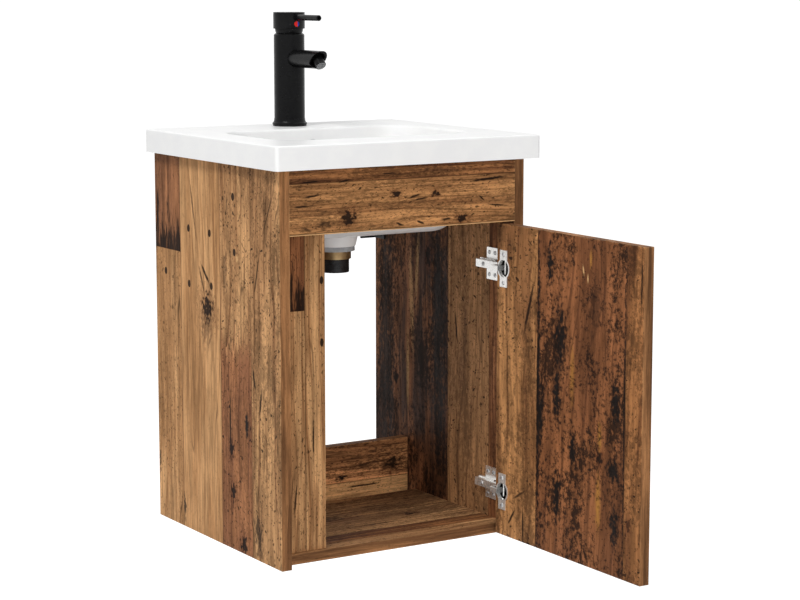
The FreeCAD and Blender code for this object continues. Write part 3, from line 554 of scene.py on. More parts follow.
class RepeatSheet(NodeSheet):
    """A geometry node tree with named inputs that ends in Realize Instances and Set Material."""

    def __init__(self, name: str, takes: dict[str, str]) -> None:
        """Open the tree.

        Args:
            name: The tree's name.
            takes: The kind of each named input.
        """
        tree = bpy.data.node_groups.new(name, "GeometryNodeTree")
        for socket, kind in {"Geometry": "Geometry", **takes, "Finish": "Material"}.items():
            tree.interface.new_socket(name=socket, in_out="INPUT", socket_type=f"NodeSocket{kind}")
        tree.interface.new_socket(name="Geometry", in_out="OUTPUT", socket_type="NodeSocketGeometry")
        super().__init__(tree)
        self.given = {socket.name: Wire(self, socket) for socket in self.node("NodeGroupInput").outputs}
        self.result = self.node("NodeGroupOutput").inputs

    def shape(self, kind: str, output: str = "Mesh", settings: Optional[dict[str, object]] = None,
              **values: Feed) -> Wire:
        """Add one geometry node and feed it by input name, with underscores for spaces."""
        feeds = {name.replace("_", " "): value for name, value in values.items()}
        return self.made(f"GeometryNode{kind}", output, feeds, **(settings or {}))

    def moved(self, geometry: Wire, place: Feed, turn: Feed = (0.0, 0.0, 0.0)) -> Wire:
        """Turn a geometry, then shift it."""
        return self.shape("Transform", "Geometry", Geometry=geometry, Translation=place, Rotation=turn)

    def joined(self, *parts: Wire) -> Wire:
        """Join geometries into one.

        Args:
            parts: The geometries.

        Returns:
            All of them.
        """
        node = self.node("GeometryNodeJoinGeometry")
        for part in parts:
            self.feed(node.inputs[0], part)
        return Wire(self, node.outputs[0])

    def close(self, geometry: Wire) -> Tree:
        """Realise the instances, set the finish and end the tree.

        Args:
            geometry: What the tree makes.

        Returns:
            The tree.
        """
        real = self.shape("RealizeInstances", "Geometry", Geometry=geometry)
        done = self.shape("SetMaterial", "Geometry", Geometry=real, Material=self.given["Finish"])
        self.feed(self.result["Geometry"], done)
        return self.tree


class Repeats:
    """The geometry node trees for what repeats: cross-head screws, a screw thread and a spray face."""

    HEAD_SIDES, SHANK_SIDES, PEG_SIDES, RIB_SIDES, THREAD_STEPS = 28, 12, 6, 6, 72
    RIM_SHARE, DOME_SHARE, DOME_SEAT = 0.45, 0.55, 0.449
    RIM_TOP, DOME_TOP, SLOT_LENGTH, SLOT_WIDTH, SHANK_DROP = 0.96, 0.66, 1.05, 0.26, -0.499

    def __init__(self) -> None:
        """Build every tree."""
        self.screws = self._screws()
        self.thread = self._thread()
        self.spray = self._spray()

    def _screws(self) -> Tree:
        """Domed screw heads with a cross recess and a shank, one at each point.

        Returns:
            The tree.
        """
        sheet = RepeatSheet("cross_head_screws", {
            "Head radius": "Float", "Head height": "Float", "Shank radius": "Float", "Shank length": "Float",
            "Facing": "Vector", "Seed": "Int"})
        given = sheet.given
        radius, height, length = given["Head radius"], given["Head height"], given["Shank length"]
        rim = sheet.shape("MeshCone", Vertices=self.HEAD_SIDES, Radius_Top=radius * self.RIM_TOP,
                          Radius_Bottom=radius, Depth=height * self.RIM_SHARE)
        dome = sheet.shape("MeshCone", Vertices=self.HEAD_SIDES, Radius_Top=radius * self.DOME_TOP,
                           Radius_Bottom=radius * self.RIM_TOP, Depth=height * self.DOME_SHARE)
        raised = sheet.moved(dome, sheet.triple(z=height * self.DOME_SEAT))
        head = sheet.shape("MeshBoolean", settings={"operation": "UNION"}, Mesh_2=sheet.joined(rim, raised))
        arm, slit = radius * self.SLOT_LENGTH, radius * self.SLOT_WIDTH
        cut = sheet.shape("MeshBoolean", settings={"operation": "DIFFERENCE"}, Mesh_1=head)
        for size in ((arm, slit, height), (slit, arm, height)):
            bar = sheet.shape("MeshCube", Size=sheet.triple(*size))
            sheet.feed(cut.socket.node.inputs["Mesh 2"], sheet.moved(bar, sheet.triple(z=height)))
        shank = sheet.shape("MeshCylinder", Vertices=self.SHANK_SIDES, Radius=given["Shank radius"],
                            Depth=length)
        sunk = sheet.moved(shank, sheet.triple(z=length * self.SHANK_DROP))
        turn = sheet.made("FunctionNodeEulerToRotation", 0, {0: given["Facing"]})
        seated = sheet.shape("InstanceOnPoints", "Instances", Points=given["Geometry"],
                             Instance=sheet.joined(cut, sunk), Rotation=turn)
        spin = sheet.made("FunctionNodeRandomValue", 1, {3: math.pi, "Seed": given["Seed"]},
                          data_type="FLOAT")
        return sheet.close(sheet.shape("RotateInstances", "Instances", Instances=seated,
                                       Rotation=sheet.triple(z=spin)))

    def _thread(self) -> Tree:
        """One round rib that winds up around a pipe.

        Returns:
            The tree.
        """
        sheet = RepeatSheet("wound_thread", {"Turns": "Float", "Radius": "Float", "Height": "Float",
                                             "Rib": "Float", "Foot": "Vector"})
        given = sheet.given
        path = sheet.shape("CurveSpiral", "Curve", Resolution=self.THREAD_STEPS, Rotations=given["Turns"],
                           Start_Radius=given["Radius"], End_Radius=given["Radius"], Height=given["Height"])
        rib = sheet.shape("CurvePrimitiveCircle", "Curve", Resolution=self.RIB_SIDES, Radius=given["Rib"])
        wound = sheet.shape("CurveToMesh", Curve=path, Profile_Curve=rib, Fill_Caps=True)
        return sheet.close(sheet.moved(wound, given["Foot"]))

    def _spray(self) -> Tree:
        """Small six-sided pegs in rows on a round face.

        Returns:
            The tree.
        """
        sheet = RepeatSheet("spray_face", {"Radius": "Float", "Peg": "Float", "Height": "Float",
                                           "Rows": "Int", "Place": "Vector", "Facing": "Vector"})
        given = sheet.given
        width, rows = given["Radius"] * 2.0, given["Rows"]
        grid = sheet.shape("MeshGrid", Size_X=width, Size_Y=width, Vertices_X=rows, Vertices_Y=rows)
        far = sheet.vector("LENGTH", sheet.shape("InputPosition", "Position"))
        outside = far.join("GREATER_THAN", given["Radius"])
        kept = sheet.shape("DeleteGeometry", "Geometry", Geometry=grid, Selection=outside)
        peg = sheet.shape("MeshCylinder", Vertices=self.PEG_SIDES, Radius=given["Peg"], Depth=given["Height"])
        pegs = sheet.shape("InstanceOnPoints", "Instances", Points=kept, Instance=peg)
        return sheet.close(sheet.moved(pegs, given["Place"], given["Facing"]))

    @staticmethod
    def made(name: str, tree: Tree, points: Sequence[Vector], finish: Material, **values: object) -> Mesh:
        """Run a tree and keep its result as a plain mesh.

        Args:
            name: The mesh's name.
            tree: The geometry node tree.
            points: Where its shapes stand, in metres.
            finish: The material of the result.
            values: Its other inputs by name, with underscores for spaces.

        Returns:
            The mesh.
        """
        seats = bpy.data.meshes.new(name)
        seats.from_pydata([tuple(point) for point in points], [], [])
        holder = bpy.data.objects.new(f"{name}_seats", seats)
        bpy.context.scene.collection.objects.link(holder)
        modifier = holder.modifiers.new("repeat", "NODES")
        modifier.node_group = tree
        wanted = {key.replace("_", " "): value for key, value in values.items()} | {"Finish": finish}
        for item in tree.interface.items_tree:
            if item.in_out == "INPUT" and item.name in wanted:
                modifier[item.identifier] = wanted[item.name]
        graph = bpy.context.evaluated_depsgraph_get()
        mesh = bpy.data.meshes.new_from_object(holder.evaluated_get(graph))
        holder.modifiers.remove(modifier)
        bpy.data.objects.remove(holder)
        mesh.name = name
        return mesh


def turned(name: str, profile: Sequence[Pair], centre: Vector, direction: Vector, steps: int = 96,
           crease: float = 35.0) -> Mesh:
    """Turn a closed profile around an axis, as on a lathe.

    Args:
        name: The mesh's name.
        profile: Radius and height pairs (mm) from the axis out and back to the axis, or a closed ring.
        centre: Where height 0 lies on the axis, in metres.
        direction: Where the axis points.
        steps: How many faces go around.
        crease: The angle in degrees above which an edge stays sharp.

    Returns:
        The mesh, in place, with faces that point outwards.
    """
    shape = bmesh.new()
    rings = []
    for radius, height in profile:
        count = 1 if radius == 0 else steps
        turns = [math.tau * i / steps for i in range(count)]
        rings.append([shape.verts.new((radius * MM * math.cos(turn), radius * MM * math.sin(turn),
                                       height * MM)) for turn in turns])
    pairs = list(zip(rings, rings[1:]))
    if profile[0][0] > 0 and profile[-1][0] > 0:
        pairs.append((rings[-1], rings[0]))
    for low, high in pairs:
        for i in range(steps):
            j = (i + 1) % steps
            corners = [low[i % len(low)], low[j % len(low)], high[j % len(high)], high[i % len(high)]]
            shape.faces.new(list(dict.fromkeys(corners)))
    bmesh.ops.recalc_face_normals(shape, faces=shape.faces)
    turn = direction.to_track_quat("Z", "Y").to_matrix().to_4x4()
    shape.transform(Matrix.Translation(centre) @ turn)
    mesh = bpy.data.meshes.new(name)
    shape.to_mesh(mesh)
    shape.free()
    mesh.polygons.foreach_set("use_smooth", [True] * len(mesh.polygons))
    mesh.set_sharp_from_angle(angle=math.radians(crease))
    return mesh


def solids_of(node: str) -> list[tuple[Vector, Vector]]:
    """Find the box of each separate solid in a CAD node.

    Args:
        node: The node's name.

    Returns:
        The low and high corner of each solid, in metres, in order of their low corners.
    """
    copy = bmesh.new()
    copy.from_mesh(frame["nodes"][node].data)
    bmesh.ops.remove_doubles(copy, verts=copy.verts, dist=WELD)
    left, boxes = set(copy.verts), []
    while left:
        reached, edge = set(), [left.pop()]
        while edge:
            vert = edge.pop()
            reached.add(vert)
            near = {link.other_vert(vert) for link in vert.link_edges} & left
            left -= near
            edge.extend(near)
        spread = [[vert.co[axis] for vert in reached] for axis in range(3)]
        boxes.append((Vector([min(part) for part in spread]), Vector([max(part) for part in spread])))
    copy.free()
    return sorted(boxes, key=lambda box: [round(value, ORDER_DIGITS) for value in box[0]])


def new_material(name: str) -> tuple[Material, NodeSheet, Node, Wire]:
    """Start a material that reads Object coordinates.

    Args:
        name: The finish's name.

    Returns:
        The material, its node sheet, its Principled shader and the coordinates.
    """
    material = bpy.data.materials.new(name)
    material.use_nodes = True
    sheet = NodeSheet(material.node_tree)
    shader = material.node_tree.nodes["Principled BSDF"]
    return material, sheet, shader, sheet.made("ShaderNodeTexCoord", "Object", {})


def add_bump(sheet: NodeSheet, shader: Node, height: Wire, strength: float,
             depth: float = BUMP_DEPTH) -> None:
    """Turn a height into the shader's normal."""
    feeds = {"Strength": strength, "Distance": depth, "Height": height}
    sheet.feed(shader.inputs["Normal"], sheet.made("ShaderNodeBump", "Normal", feeds))


@dataclass(frozen=True)
class CoatedFinish:
    """Paint, plastic, rubber or glaze: two near tones, fine grit and soft smudges."""

    name: str
    colour: Colour
    second: Colour
    roughness: float
    spread: float = 0.1
    grit: float = 0.08
    scale: float = 1400.0
    specular: float = 0.5

    def material(self, effects: SharedEffects) -> Material:
        """Build the finish.

        Args:
            effects: The shared shader node groups.

        Returns:
            The material.
        """
        material, sheet, shader, place = new_material(self.name)
        speckle = sheet.group(effects.speckle, Vector=place, Scale=self.scale)
        tone = speckle["Tone"].remap(0.35, 0.65)
        sheet.feed(shader.inputs["Base Color"], sheet.mix(tone, self.colour, self.second))
        low, high = self.roughness - self.spread / 2, self.roughness + self.spread / 2
        sheet.feed(shader.inputs["Roughness"], speckle["Smudge"].remap(0.0, 1.0, low, high, False))
        shader.inputs["Specular IOR Level"].default_value = self.specular
        add_bump(sheet, shader, speckle["Grit"], self.grit)
        return material


@dataclass(frozen=True)
class MetalFinish:
    """Bare or plated metal with fine tool lines along one direction; past a well's edge it is near-black
    painted shade.
    """

    name: str
    colour: Colour
    dull: Colour
    roughness: float
    stretch: Colour
    lines: float = 0.1
    metallic: float = 1.0
    well: Optional[float] = None

    SMUDGE = 0.55
    WELL_EDGE = 1.5 * MM

    def material(self, effects: SharedEffects) -> Material:
        """Build the finish.

        Args:
            effects: The shared shader node groups.

        Returns:
            The material.
        """
        material, sheet, shader, place = new_material(self.name)
        marks = sheet.group(effects.brushed, Vector=place, Stretch=self.stretch)
        colour = sheet.mix(marks["Smudge"] * self.SMUDGE, self.colour, self.dull)
        # Past the well's edge the colour turns to near-black painted shade, for the hollow of a hinge cup.
        if self.well is not None:
            depth = sheet.apart(place)[0].remap(self.well, self.well + self.WELL_EDGE)
            colour = sheet.mix(depth, colour, CUP_PAINTED_SHADE)
        sheet.feed(shader.inputs["Base Color"], colour)
        rough = marks["Lines"].remap(0.3, 0.7, self.roughness * 0.8, self.roughness * 1.3, False)
        sheet.feed(shader.inputs["Roughness"], rough)
        shader.inputs["Metallic"].default_value = self.metallic
        add_bump(sheet, shader, marks["Lines"], self.lines)
        return material


def flat_point(across: float, along: float) -> Colour:
    """Turn a place across and along the grain (mm) into a vector in metres."""
    return (across * MM, along * MM, 0.0)


@dataclass(frozen=True)
class Plank:
    """One strip of a board's plank pattern, from its low edge (mm) up to the next plank's."""

    edge: float
    tone: Colour
    streak: Colour
    streaks: float = 0.5
    pits: float = 0.5
    mottle: float = 0.3


@dataclass(frozen=True)
class Block:
    """A part of a plank with its own tone, by its corners (mm) across and along the grain."""

    low: Pair
    high: Pair
    tone: Colour
    streak: Colour
    fade: float = 2.0
    burn: float = 0.5


@dataclass(frozen=True)
class Mark:
    """One mark in the wood: its centre and reach (mm) across and along the grain, and its tilt in degrees."""

    kind: MarkKind
    across: float
    along: float
    reach_across: float
    reach_along: float
    tilt: float = 0.0
    strength: float = 1.0

    def spot(self, sheet: NodeSheet, effects: SharedEffects, place: Wire, ragged: float, core: float,
             grown: Pair = (1.0, 1.0)) -> dict[str, Wire]:
        """Draw the mark's oval, or a grown one around it.

        Args:
            sheet: The material's node sheet.
            effects: The shared shader node groups.
            place: Where the wood is read.
            ragged: How ragged its outline is.
            core: How far out it keeps its full strength.
            grown: How much longer its two reaches are.

        Returns:
            The masks of the oval and of its rings.
        """
        reach = (self.reach_across * grown[0] * MM, self.reach_along * grown[1] * MM, 1.0)
        return sheet.group(effects.mark, Vector=place, Centre=flat_point(self.across, self.along),
                           Reach=reach, Tilt=math.radians(self.tilt), Ragged=ragged, Core=core)


def marks(*rows: tuple) -> tuple[Mark, ...]:
    """Read marks from rows that list a mark's values in order."""
    return tuple(Mark(*row) for row in rows)


@dataclass(frozen=True)
class BoardFinish:
    """Old planks printed on one board: which way the grain runs and what lies where."""

    node: str
    across: Axis
    along: Axis
    planks: tuple[Plank, ...]
    blocks: tuple[Block, ...] = ()
    marks: tuple[Mark, ...] = ()
    seed: float = 0.0
    fineness: float = 1.0

    FIBRE_SPAN, STREAK_SPAN = (0.4, 0.6), (0.41, 0.59)
    BLOTCH, HAIRS, SPLITS, DARKEST = 0.5, 0.7, 0.7, 0.95
    NUMBER_STEP = 10.0
    EDGE_WIDTH, EDGE_WEAR = 2.2 * MM, 0.2
    SEAM_CORE, SEAM_REACH, SEAM_DARK = 0.2 * MM, 0.9 * MM, 0.75
    HALO_REACH, HALO_RAGGED, HALO_CORE, HALO_TINT, HALO_RINGS = (1.6, 1.7), 2.0, 0.2, 0.55, 0.3
    BAND_DARKNESS, GLOSS, DARK_ROUGH = 0.3, 0.14, 0.15
    RELIEF, RELIEF_DEPTH = 0.3, 0.0005

    def material(self, effects: SharedEffects) -> Material:
        """Build the board's own wood.

        Args:
            effects: The shared shader node groups.

        Returns:
            The material.
        """
        material, sheet, shader, place = new_material(f"{self.node}_old_wood")
        low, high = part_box(self.node)
        parts = sheet.apart(place)
        depth = 3 - self.across.value - self.along.value
        across = parts[self.across.value]
        grain_place = sheet.triple(across, parts[self.along.value], parts[depth])
        span = (low[self.across.value], high[self.across.value])
        position = across.remap(*span, smooth=False)
        tone = sheet.steps(position, self._stops(span, [plank.tone for plank in self.planks]))
        dark_tone = sheet.steps(position, self._stops(span, [plank.streak for plank in self.planks]))
        traits = [(plank.pits, plank.streaks, plank.mottle) for plank in self.planks]
        pitted, streaked, mottled = sheet.apart(sheet.steps(position, self._stops(span, traits)), "Color")[:3]
        numbers = [((i + 1) / self.NUMBER_STEP,) * 3 for i in range(len(self.planks))]
        number = sheet.math("MULTIPLY", sheet.steps(position, self._stops(span, numbers)), self.NUMBER_STEP)
        burnt: Feed = 0.0
        for block in self.blocks:
            patch = sheet.group(effects.block, Vector=grain_place, Low=flat_point(*block.low),
                                High=flat_point(*block.high), Fade=block.fade * MM, Burn=block.burn * MM)
            tone = sheet.mix(patch["Mask"], tone, block.tone)
            dark_tone = sheet.mix(patch["Mask"], dark_tone, block.streak)
            number = number + patch["Mask"].join("GREATER_THAN", 0.5)
            burnt = patch["Burnt"].most(burnt)
        grain = sheet.group(effects.grain, Vector=grain_place * (self.fineness, 1.0, 1.0),
                            Plank=number + self.seed)
        streak, fibre = grain["Streak"].remap(*self.STREAK_SPAN), grain["Fibre"].remap(*self.FIBRE_SPAN)
        colour = sheet.mix(streak * streaked, tone, dark_tone)
        colour = sheet.mix(grain["Blotch"].remap(0.5, 0.75) * self.BLOTCH, colour, dark_tone)
        colour = sheet.mix(grain["Hairs"] * self.HAIRS, colour, dark_tone)
        light = grain["Fibre"].remap(*self.FIBRE_SPAN, 0.68, 1.28, False)
        shade = sheet.made("ShaderNodeCombineColor", 0, {0: light, 1: light, 2: light})
        colour = sheet.mix(1.0, colour, shade, "MULTIPLY")
        dark = (grain["Pits"] * pitted).most(grain["Mottle"] * mottled).most(burnt)
        dark = dark.most(grain["Splits"] * self.SPLITS)
        colour, dark = self._lay_marks(sheet, effects, grain_place, colour, dark)
        for plank in self.planks[1:]:
            off = (across - plank.edge * MM).join("ABSOLUTE")
            dark = dark.most(off.remap(self.SEAM_CORE, self.SEAM_REACH, self.SEAM_DARK, 0.0))
        looks = sheet.apart(Wire(sheet, place.socket.node.outputs["Normal"]))
        banding = looks[depth].join("ABSOLUTE").remap(0.4, 0.6, 1.0, 0.0)
        band = sheet.mix(1.0, sheet.mix(streak, BAND, BAND_DARK), shade, "MULTIPLY")
        colour = sheet.mix(banding, colour, band)
        dark = dark * banding.remap(0.0, 1.0, 1.0, self.BAND_DARKNESS, False)
        # Board edges turn pale: wear together with a painted edge highlight.
        edge = sheet.group(effects.edge, Vector=place, Low=low, High=high, Width=self.EDGE_WIDTH)
        colour = sheet.mix(edge["Mask"] * fibre * self.EDGE_WEAR, colour, WORN_AND_HIGHLIGHT)
        sheet.feed(shader.inputs["Base Color"], sheet.mix(dark * self.DARKEST, colour, COAL))
        rough = grain["Fibre"].remap(*self.FIBRE_SPAN, 0.74, 0.58, False)
        sheet.feed(shader.inputs["Roughness"], rough + dark * self.DARK_ROUGH)
        shader.inputs["Specular IOR Level"].default_value = self.GLOSS
        add_bump(sheet, shader, grain["Fibre"] * 0.5 - dark, self.RELIEF, self.RELIEF_DEPTH)
        return material

    def _stops(self, span: Pair, colours: Sequence[Colour]) -> list[tuple[float, Colour]]:
        """Pair each plank's colour with where the plank starts across the board, from 0 to 1.

        Args:
            span: Where the board starts and ends, in metres.
            colours: One for each plank.

        Returns:
            The pairs.
        """
        width = span[1] - span[0]
        starts = [min(max((plank.edge * MM - span[0]) / width, 0.0), 1.0) for plank in self.planks]
        return list(zip(starts, colours))

    def _lay_marks(self, sheet: NodeSheet, effects: SharedEffects, place: Wire, colour: Wire,
                   dark: Wire) -> tuple[Wire, Wire]:
        """Lay knots, nail holes, cracks, stains, warm streaks and pale chips over the wood.

        Args:
            sheet: The material's node sheet.
            effects: The shared shader node groups.
            place: Where the wood is read, across, along and through.
            colour: The wood's colour so far.
            dark: How dark each place is so far.

        Returns:
            The new colour and darkness.
        """
        tints = {MarkKind.GLOW: AMBER, MarkKind.CHIP: WORN_AND_HIGHLIGHT, MarkKind.STAIN: COAL}
        for mark in self.marks:
            amount = mark.spot(sheet, effects, place, *mark.kind.value)["Mask"] * mark.strength
            if mark.kind in tints:
                colour = sheet.mix(amount, colour, tints[mark.kind])
            else:
                dark = dark.most(amount)
            if mark.kind is MarkKind.KNOT:
                halo = mark.spot(sheet, effects, place, self.HALO_RAGGED, self.HALO_CORE, self.HALO_REACH)
                colour = sheet.mix(halo["Mask"] * self.HALO_TINT, colour, EMBER)
                dark = dark.most(halo["Rings"] * self.HALO_RINGS)
        return colour, dark


def board_finishes() -> list[BoardFinish]:
    """List the wood of every board, with places in mm in the shared frame.

    Returns:
        One finish for each board.
    """
    knot, nail, crack, stain, glow, chip = MarkKind
    tan, tan_dark = screen(204, 155, 106), screen(162, 114, 70)
    honey, honey_dark = screen(190, 138, 88), screen(124, 80, 46)
    brown, brown_dark = screen(166, 112, 68), screen(100, 61, 36)
    rust, rust_dark, pale_rust = screen(150, 96, 60), screen(88, 50, 31), screen(226, 158, 104)
    chestnut, chestnut_dark = screen(170, 115, 76), screen(98, 60, 38)
    russet, russet_dark = screen(168, 113, 74), screen(108, 66, 43)
    soot, soot_dark = screen(146, 98, 66), screen(50, 30, 20)
    straw, straw_dark, pale_straw = screen(198, 142, 90), screen(118, 76, 45), screen(232, 182, 126)
    umber, umber_dark = screen(168, 111, 70), screen(90, 54, 33)
    grey, grey_dark = screen(204, 152, 104), screen(130, 92, 60)
    left_nails = ((-32, -51), (-107, 18), (-172, 17), (-107, -61), (-176, -57), (-243, 74), (-246, -2))
    left = BoardFinish(
        "left_side_panel", Axis.Y, Axis.Z,
        (Plank(-375, tan, straw_dark, 0.45, 1.0, 0.45), Plank(-293, tan, honey_dark, 0.5, 1.0, 0.35),
         Plank(-203, tan, tan_dark, 0.6, 0.2, 0.05), Plank(-81, tan, tan_dark, 0.6, 0.7, 0.2)),
        (Block((-81, -19), (5, 130), chestnut, chestnut_dark, 1.0, 66.0),
         Block((-293, -520), (-203, -100), russet, russet_dark, 60.0, 0.5)),
        marks(*((nail, *place, 4.8, 6.0) for place in left_nails),
              (knot, -164, -90, 20, 24, 8.0), (stain, -158, -118, 20, 34, 0.0, 0.4),
              (crack, -158, -42, 4.0, 26, 44.0), (crack, -146, -50, 3.4, 30, 24.0, 0.8),
              (crack, -121, 50, 3.0, 66, 13.0, 0.75), (stain, -218, -30, 8, 40, 0.0, 0.5),
              (chip, -254, -10, 4.4, 7), (stain, -225, 62, 4, 14, 0.0, 0.6),
              (crack, -310, -26, 2.6, 52, -15.0, 0.85), (crack, -344, 62, 2.6, 50, -27.0, 0.8),
              (crack, -229, -250, 3.4, 80), (knot, -232, -278, 9, 15), (knot, -236, -338, 9, 18),
              (stain, -277, -235, 6, 26), (knot, -266, -405, 11, 18), (stain, -308, -382, 15, 36, 8.0, 0.8),
              (crack, -300, -170, 3.6, 26, 14.0), (crack, -318, -200, 3.6, 30, -10.0),
              (stain, -84, -390, 5, 26, 4.0, 0.9), (stain, -4, -330, 4, 26, 0.0, 0.8)),
        seed=0.13, fineness=0.5)
    door = BoardFinish(
        "door_panel", Axis.Y, Axis.Z,
        (Plank(-693, brown, brown_dark, 0.9, 1.0, 0.55), Plank(-657, rust, umber_dark, 0.6, 0.8, 0.95),
         Plank(-459, straw, brown_dark, 0.65, 1.0, 0.55)), (),
        marks((stain, -488, -15, 10, 42), (stain, -513, -113, 18, 64), (stain, -506, -195, 16, 56),
              (stain, -469, -230, 8, 72), (stain, -543, -263, 11, 34), (stain, -508, -335, 12, 54),
              (stain, -637, -185, 14, 42), (stain, -633, -276, 20, 22), (stain, -637, -352, 13, 38),
              (stain, -462, -195, 5.0, 330), (stain, -655, -195, 2.6, 300, 0.0, 0.9),
              (stain, -590, -60, 16, 44, 0.0, 0.5), (knot, -603, -265, 9, 14), (glow, -603, -236, 6, 28),
              (glow, -601, -326, 8, 54), (chip, -563, -16, 2.4, 10, 12.0), (chip, -573, -26, 2.2, 8),
              (glow, -579, 0, 4, 16), (glow, -540, -160, 7, 60, 0.0, 0.7), (crack, -438, -84, 4.4, 60, -17.0),
              (crack, -419, -350, 2.8, 24, -60.0, 0.9), (crack, -401, -385, 3.0, 20, -35.0),
              (crack, -428, -395, 3.0, 40), (crack, -688, -20, 3.0, 50), (knot, -667, -342, 5, 12, 0.0, 0.7)),
        seed=0.57, fineness=0.34)
    right = BoardFinish(
        "right_side_panel", Axis.Y, Axis.Z,
        (Plank(-375, umber, umber_dark, 0.7, 0.6, 0.5), Plank(-314, grey, grey_dark, 0.5, 1.0, 0.45),
         Plank(-206, soot, soot_dark, 0.9, 0.6, 0.9)), (),
        marks((stain, -180, -150, 28, 280, 0.0, 0.9), (stain, -30, -150, 30, 280, 0.0, 0.85),
              (chip, -104, -110, 8, 100, 3.0, 0.6), (chip, -120, -60, 6, 70, -4.0, 0.55),
              (chip, -94, -220, 6, 80, 0.0, 0.5), (crack, -228, -142, 2.6, 34, 8.0), (knot, -150, -40, 9, 20),
              (knot, -60, -240, 8, 14)),
        seed=0.31, fineness=0.5)
    stile = BoardFinish(
        "grip_stile", Axis.X, Axis.Z,
        (Plank(-180, tan, honey_dark, 0.5, 0.9, 0.15), Plank(-142, tan, honey_dark, 0.6, 0.8, 0.15)),
        (Block((-182, -74), (-142, 130), rust, rust_dark, 1.0, 66.0),),
        marks((nail, -116, -34, 3.2, 6.4), (nail, -116, -119, 3.2, 6.4), (crack, -130, -250, 2.0, 44),
              (crack, -158, -330, 2.0, 28, 6.0)),
        seed=0.73)
    fascia = BoardFinish(
        "front_fascia", Axis.Z, Axis.X,
        # The thin pale first plank is a painted highlight along the fascia's worn lower edge.
        (Plank(31, WORN_AND_HIGHLIGHT, honey, 0.3, 0.3, 0.1), Plank(33.2, straw, straw_dark, 0.6, 1.0, 0.55),
         Plank(100, brown, rust_dark, 0.7, 0.9, 0.6)), (),
        marks((knot, 52, -90, 13, 13), (knot, 80, -15, 6, 9, 20.0), (knot, 77, 49, 6, 8),
              (knot, 41, 92, 7, 10), (crack, 70, -162, 2.0, 17), (crack, 83, -147, 2.0, 20, 6.0),
              (crack, 75, 14, 2.4, 17, 14.0), (crack, 71, 24, 2.0, 16, 6.0), (crack, 93, 136, 2.6, 46, 4.0),
              (crack, 102, -150, 2.0, 24, 4.0), (crack, 101, -97, 2.0, 14, 8.0), (crack, 108, -25, 1.8, 20),
              (stain, 45, -124, 5, 14, 0.0, 0.7), (stain, 39, -154, 4, 18, 0.0, 0.7),
              (crack, 38, -9, 2.4, 10, -20.0), (crack, 39, 24, 2.4, 10, -24.0), (crack, 41, 65, 2.6, 12),
              (crack, 67, 124, 2.0, 9, -40.0), (crack, 56, 150, 1.8, 24, -6.0),
              (stain, 108, 60, 7, 55, 0.0, 0.5)),
        seed=0.21)
    rails = tuple(BoardFinish(
        name, Axis.Z, Axis.X,
        (Plank(lowest, pale_straw, straw, 0.5, 0.8, 0.3),
         Plank(lowest + 34, pale_rust, brown_dark, 0.6, 0.9, 0.8)), (),
        marks((knot, lowest + 54, 152, 13, 17), (stain, lowest + 42, 62, 6, 16),
              (crack, lowest + 26, 100, 2.0, 40)),
        seed=seed)
        for name, lowest, seed in (("lower_back_rail", -420.0, 0.87), ("upper_back_rail", 32.0, 0.44)))
    bottom = BoardFinish(
        "bottom_panel", Axis.Y, Axis.X,
        (Plank(-353, tan, honey_dark, 0.5, 1.0, 0.3), Plank(-328, brown, rust_dark, 0.8, 0.6, 0.5),
         Plank(-296, tan, brown_dark, 0.6, 1.0, 0.65)), (),
        marks((knot, -243, 88, 9, 13), (crack, -270, 20, 2.4, 50), (stain, -210, -40, 18, 70, 0.0, 0.6)),
        seed=0.66)
    return [left, door, right, stile, fascia, *rails, bottom]


def finishes() -> dict[str, Union[CoatedFinish, MetalFinish]]:
    """List every other finish by name: the record's slots, and the hinge cups' own.

    Returns:
        The finishes.
    """
    along_z, round_z = (900.0, 900.0, 40.0), (60.0, 60.0, 1500.0)
    nickel = (screen(244, 243, 240), screen(216, 214, 210), 0.26, along_z, 0.06)
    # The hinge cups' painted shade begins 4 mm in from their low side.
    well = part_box("hinge_cup_upper")[0].x + 4.0 * MM
    listed = (
        CoatedFinish("basin_white", screen(243, 243, 243), screen(246, 246, 245), 0.36, 0.08, 0.02,
                     500.0, 0.24),
        CoatedFinish("tap_black", screen(10, 10, 11), screen(14, 14, 15), 0.3, 0.08, 0.03, 2600.0, 0.12),
        CoatedFinish("bracket_black", screen(24, 24, 25), screen(34, 34, 35), 0.5, 0.16, 0.2, 1800.0),
        CoatedFinish("waste_black", screen(21, 21, 22), screen(32, 32, 33), 0.48, 0.12, 0.1, 1500.0),
        CoatedFinish("cartridge_plastic", screen(214, 213, 208), screen(204, 203, 199), 0.45, 0.1, 0.06),
        CoatedFinish("aerator_grey", screen(136, 137, 138), screen(116, 117, 118), 0.45, 0.1, 0.05, 2600.0),
        CoatedFinish("seal_grey", screen(176, 178, 180), screen(156, 158, 160), 0.7, 0.14, 0.2, 1700.0),
        CoatedFinish("seal_black", screen(20, 20, 21), screen(28, 28, 29), 0.7, 0.14, 0.2, 1700.0, 0.2),
        CoatedFinish("hot_red", screen(222, 36, 26), screen(206, 30, 22), 0.35, 0.1, 0.02, 3000.0, 0.3),
        CoatedFinish("cold_blue", screen(36, 62, 170), screen(30, 52, 150), 0.35, 0.1, 0.02, 3000.0, 0.3),
        CoatedFinish("beech", screen(214, 176, 126), screen(188, 146, 98), 0.6, 0.16, 0.3, 700.0),
        MetalFinish("hinge_nickel", *nickel, metallic=0.75),
        MetalFinish("hinge_cup_nickel", *nickel, metallic=0.6, well=well),
        MetalFinish("zinc_steel", screen(206, 206, 207), screen(150, 151, 153), 0.36, along_z, 0.1, 0.85),
        MetalFinish("brass", screen(178, 150, 108), screen(140, 114, 80), 0.46, round_z, 0.18, 0.85),
        MetalFinish("chrome", screen(232, 233, 235), screen(208, 210, 213), 0.08, round_z, 0.02),
    )
    return {finish.name: finish for finish in listed}


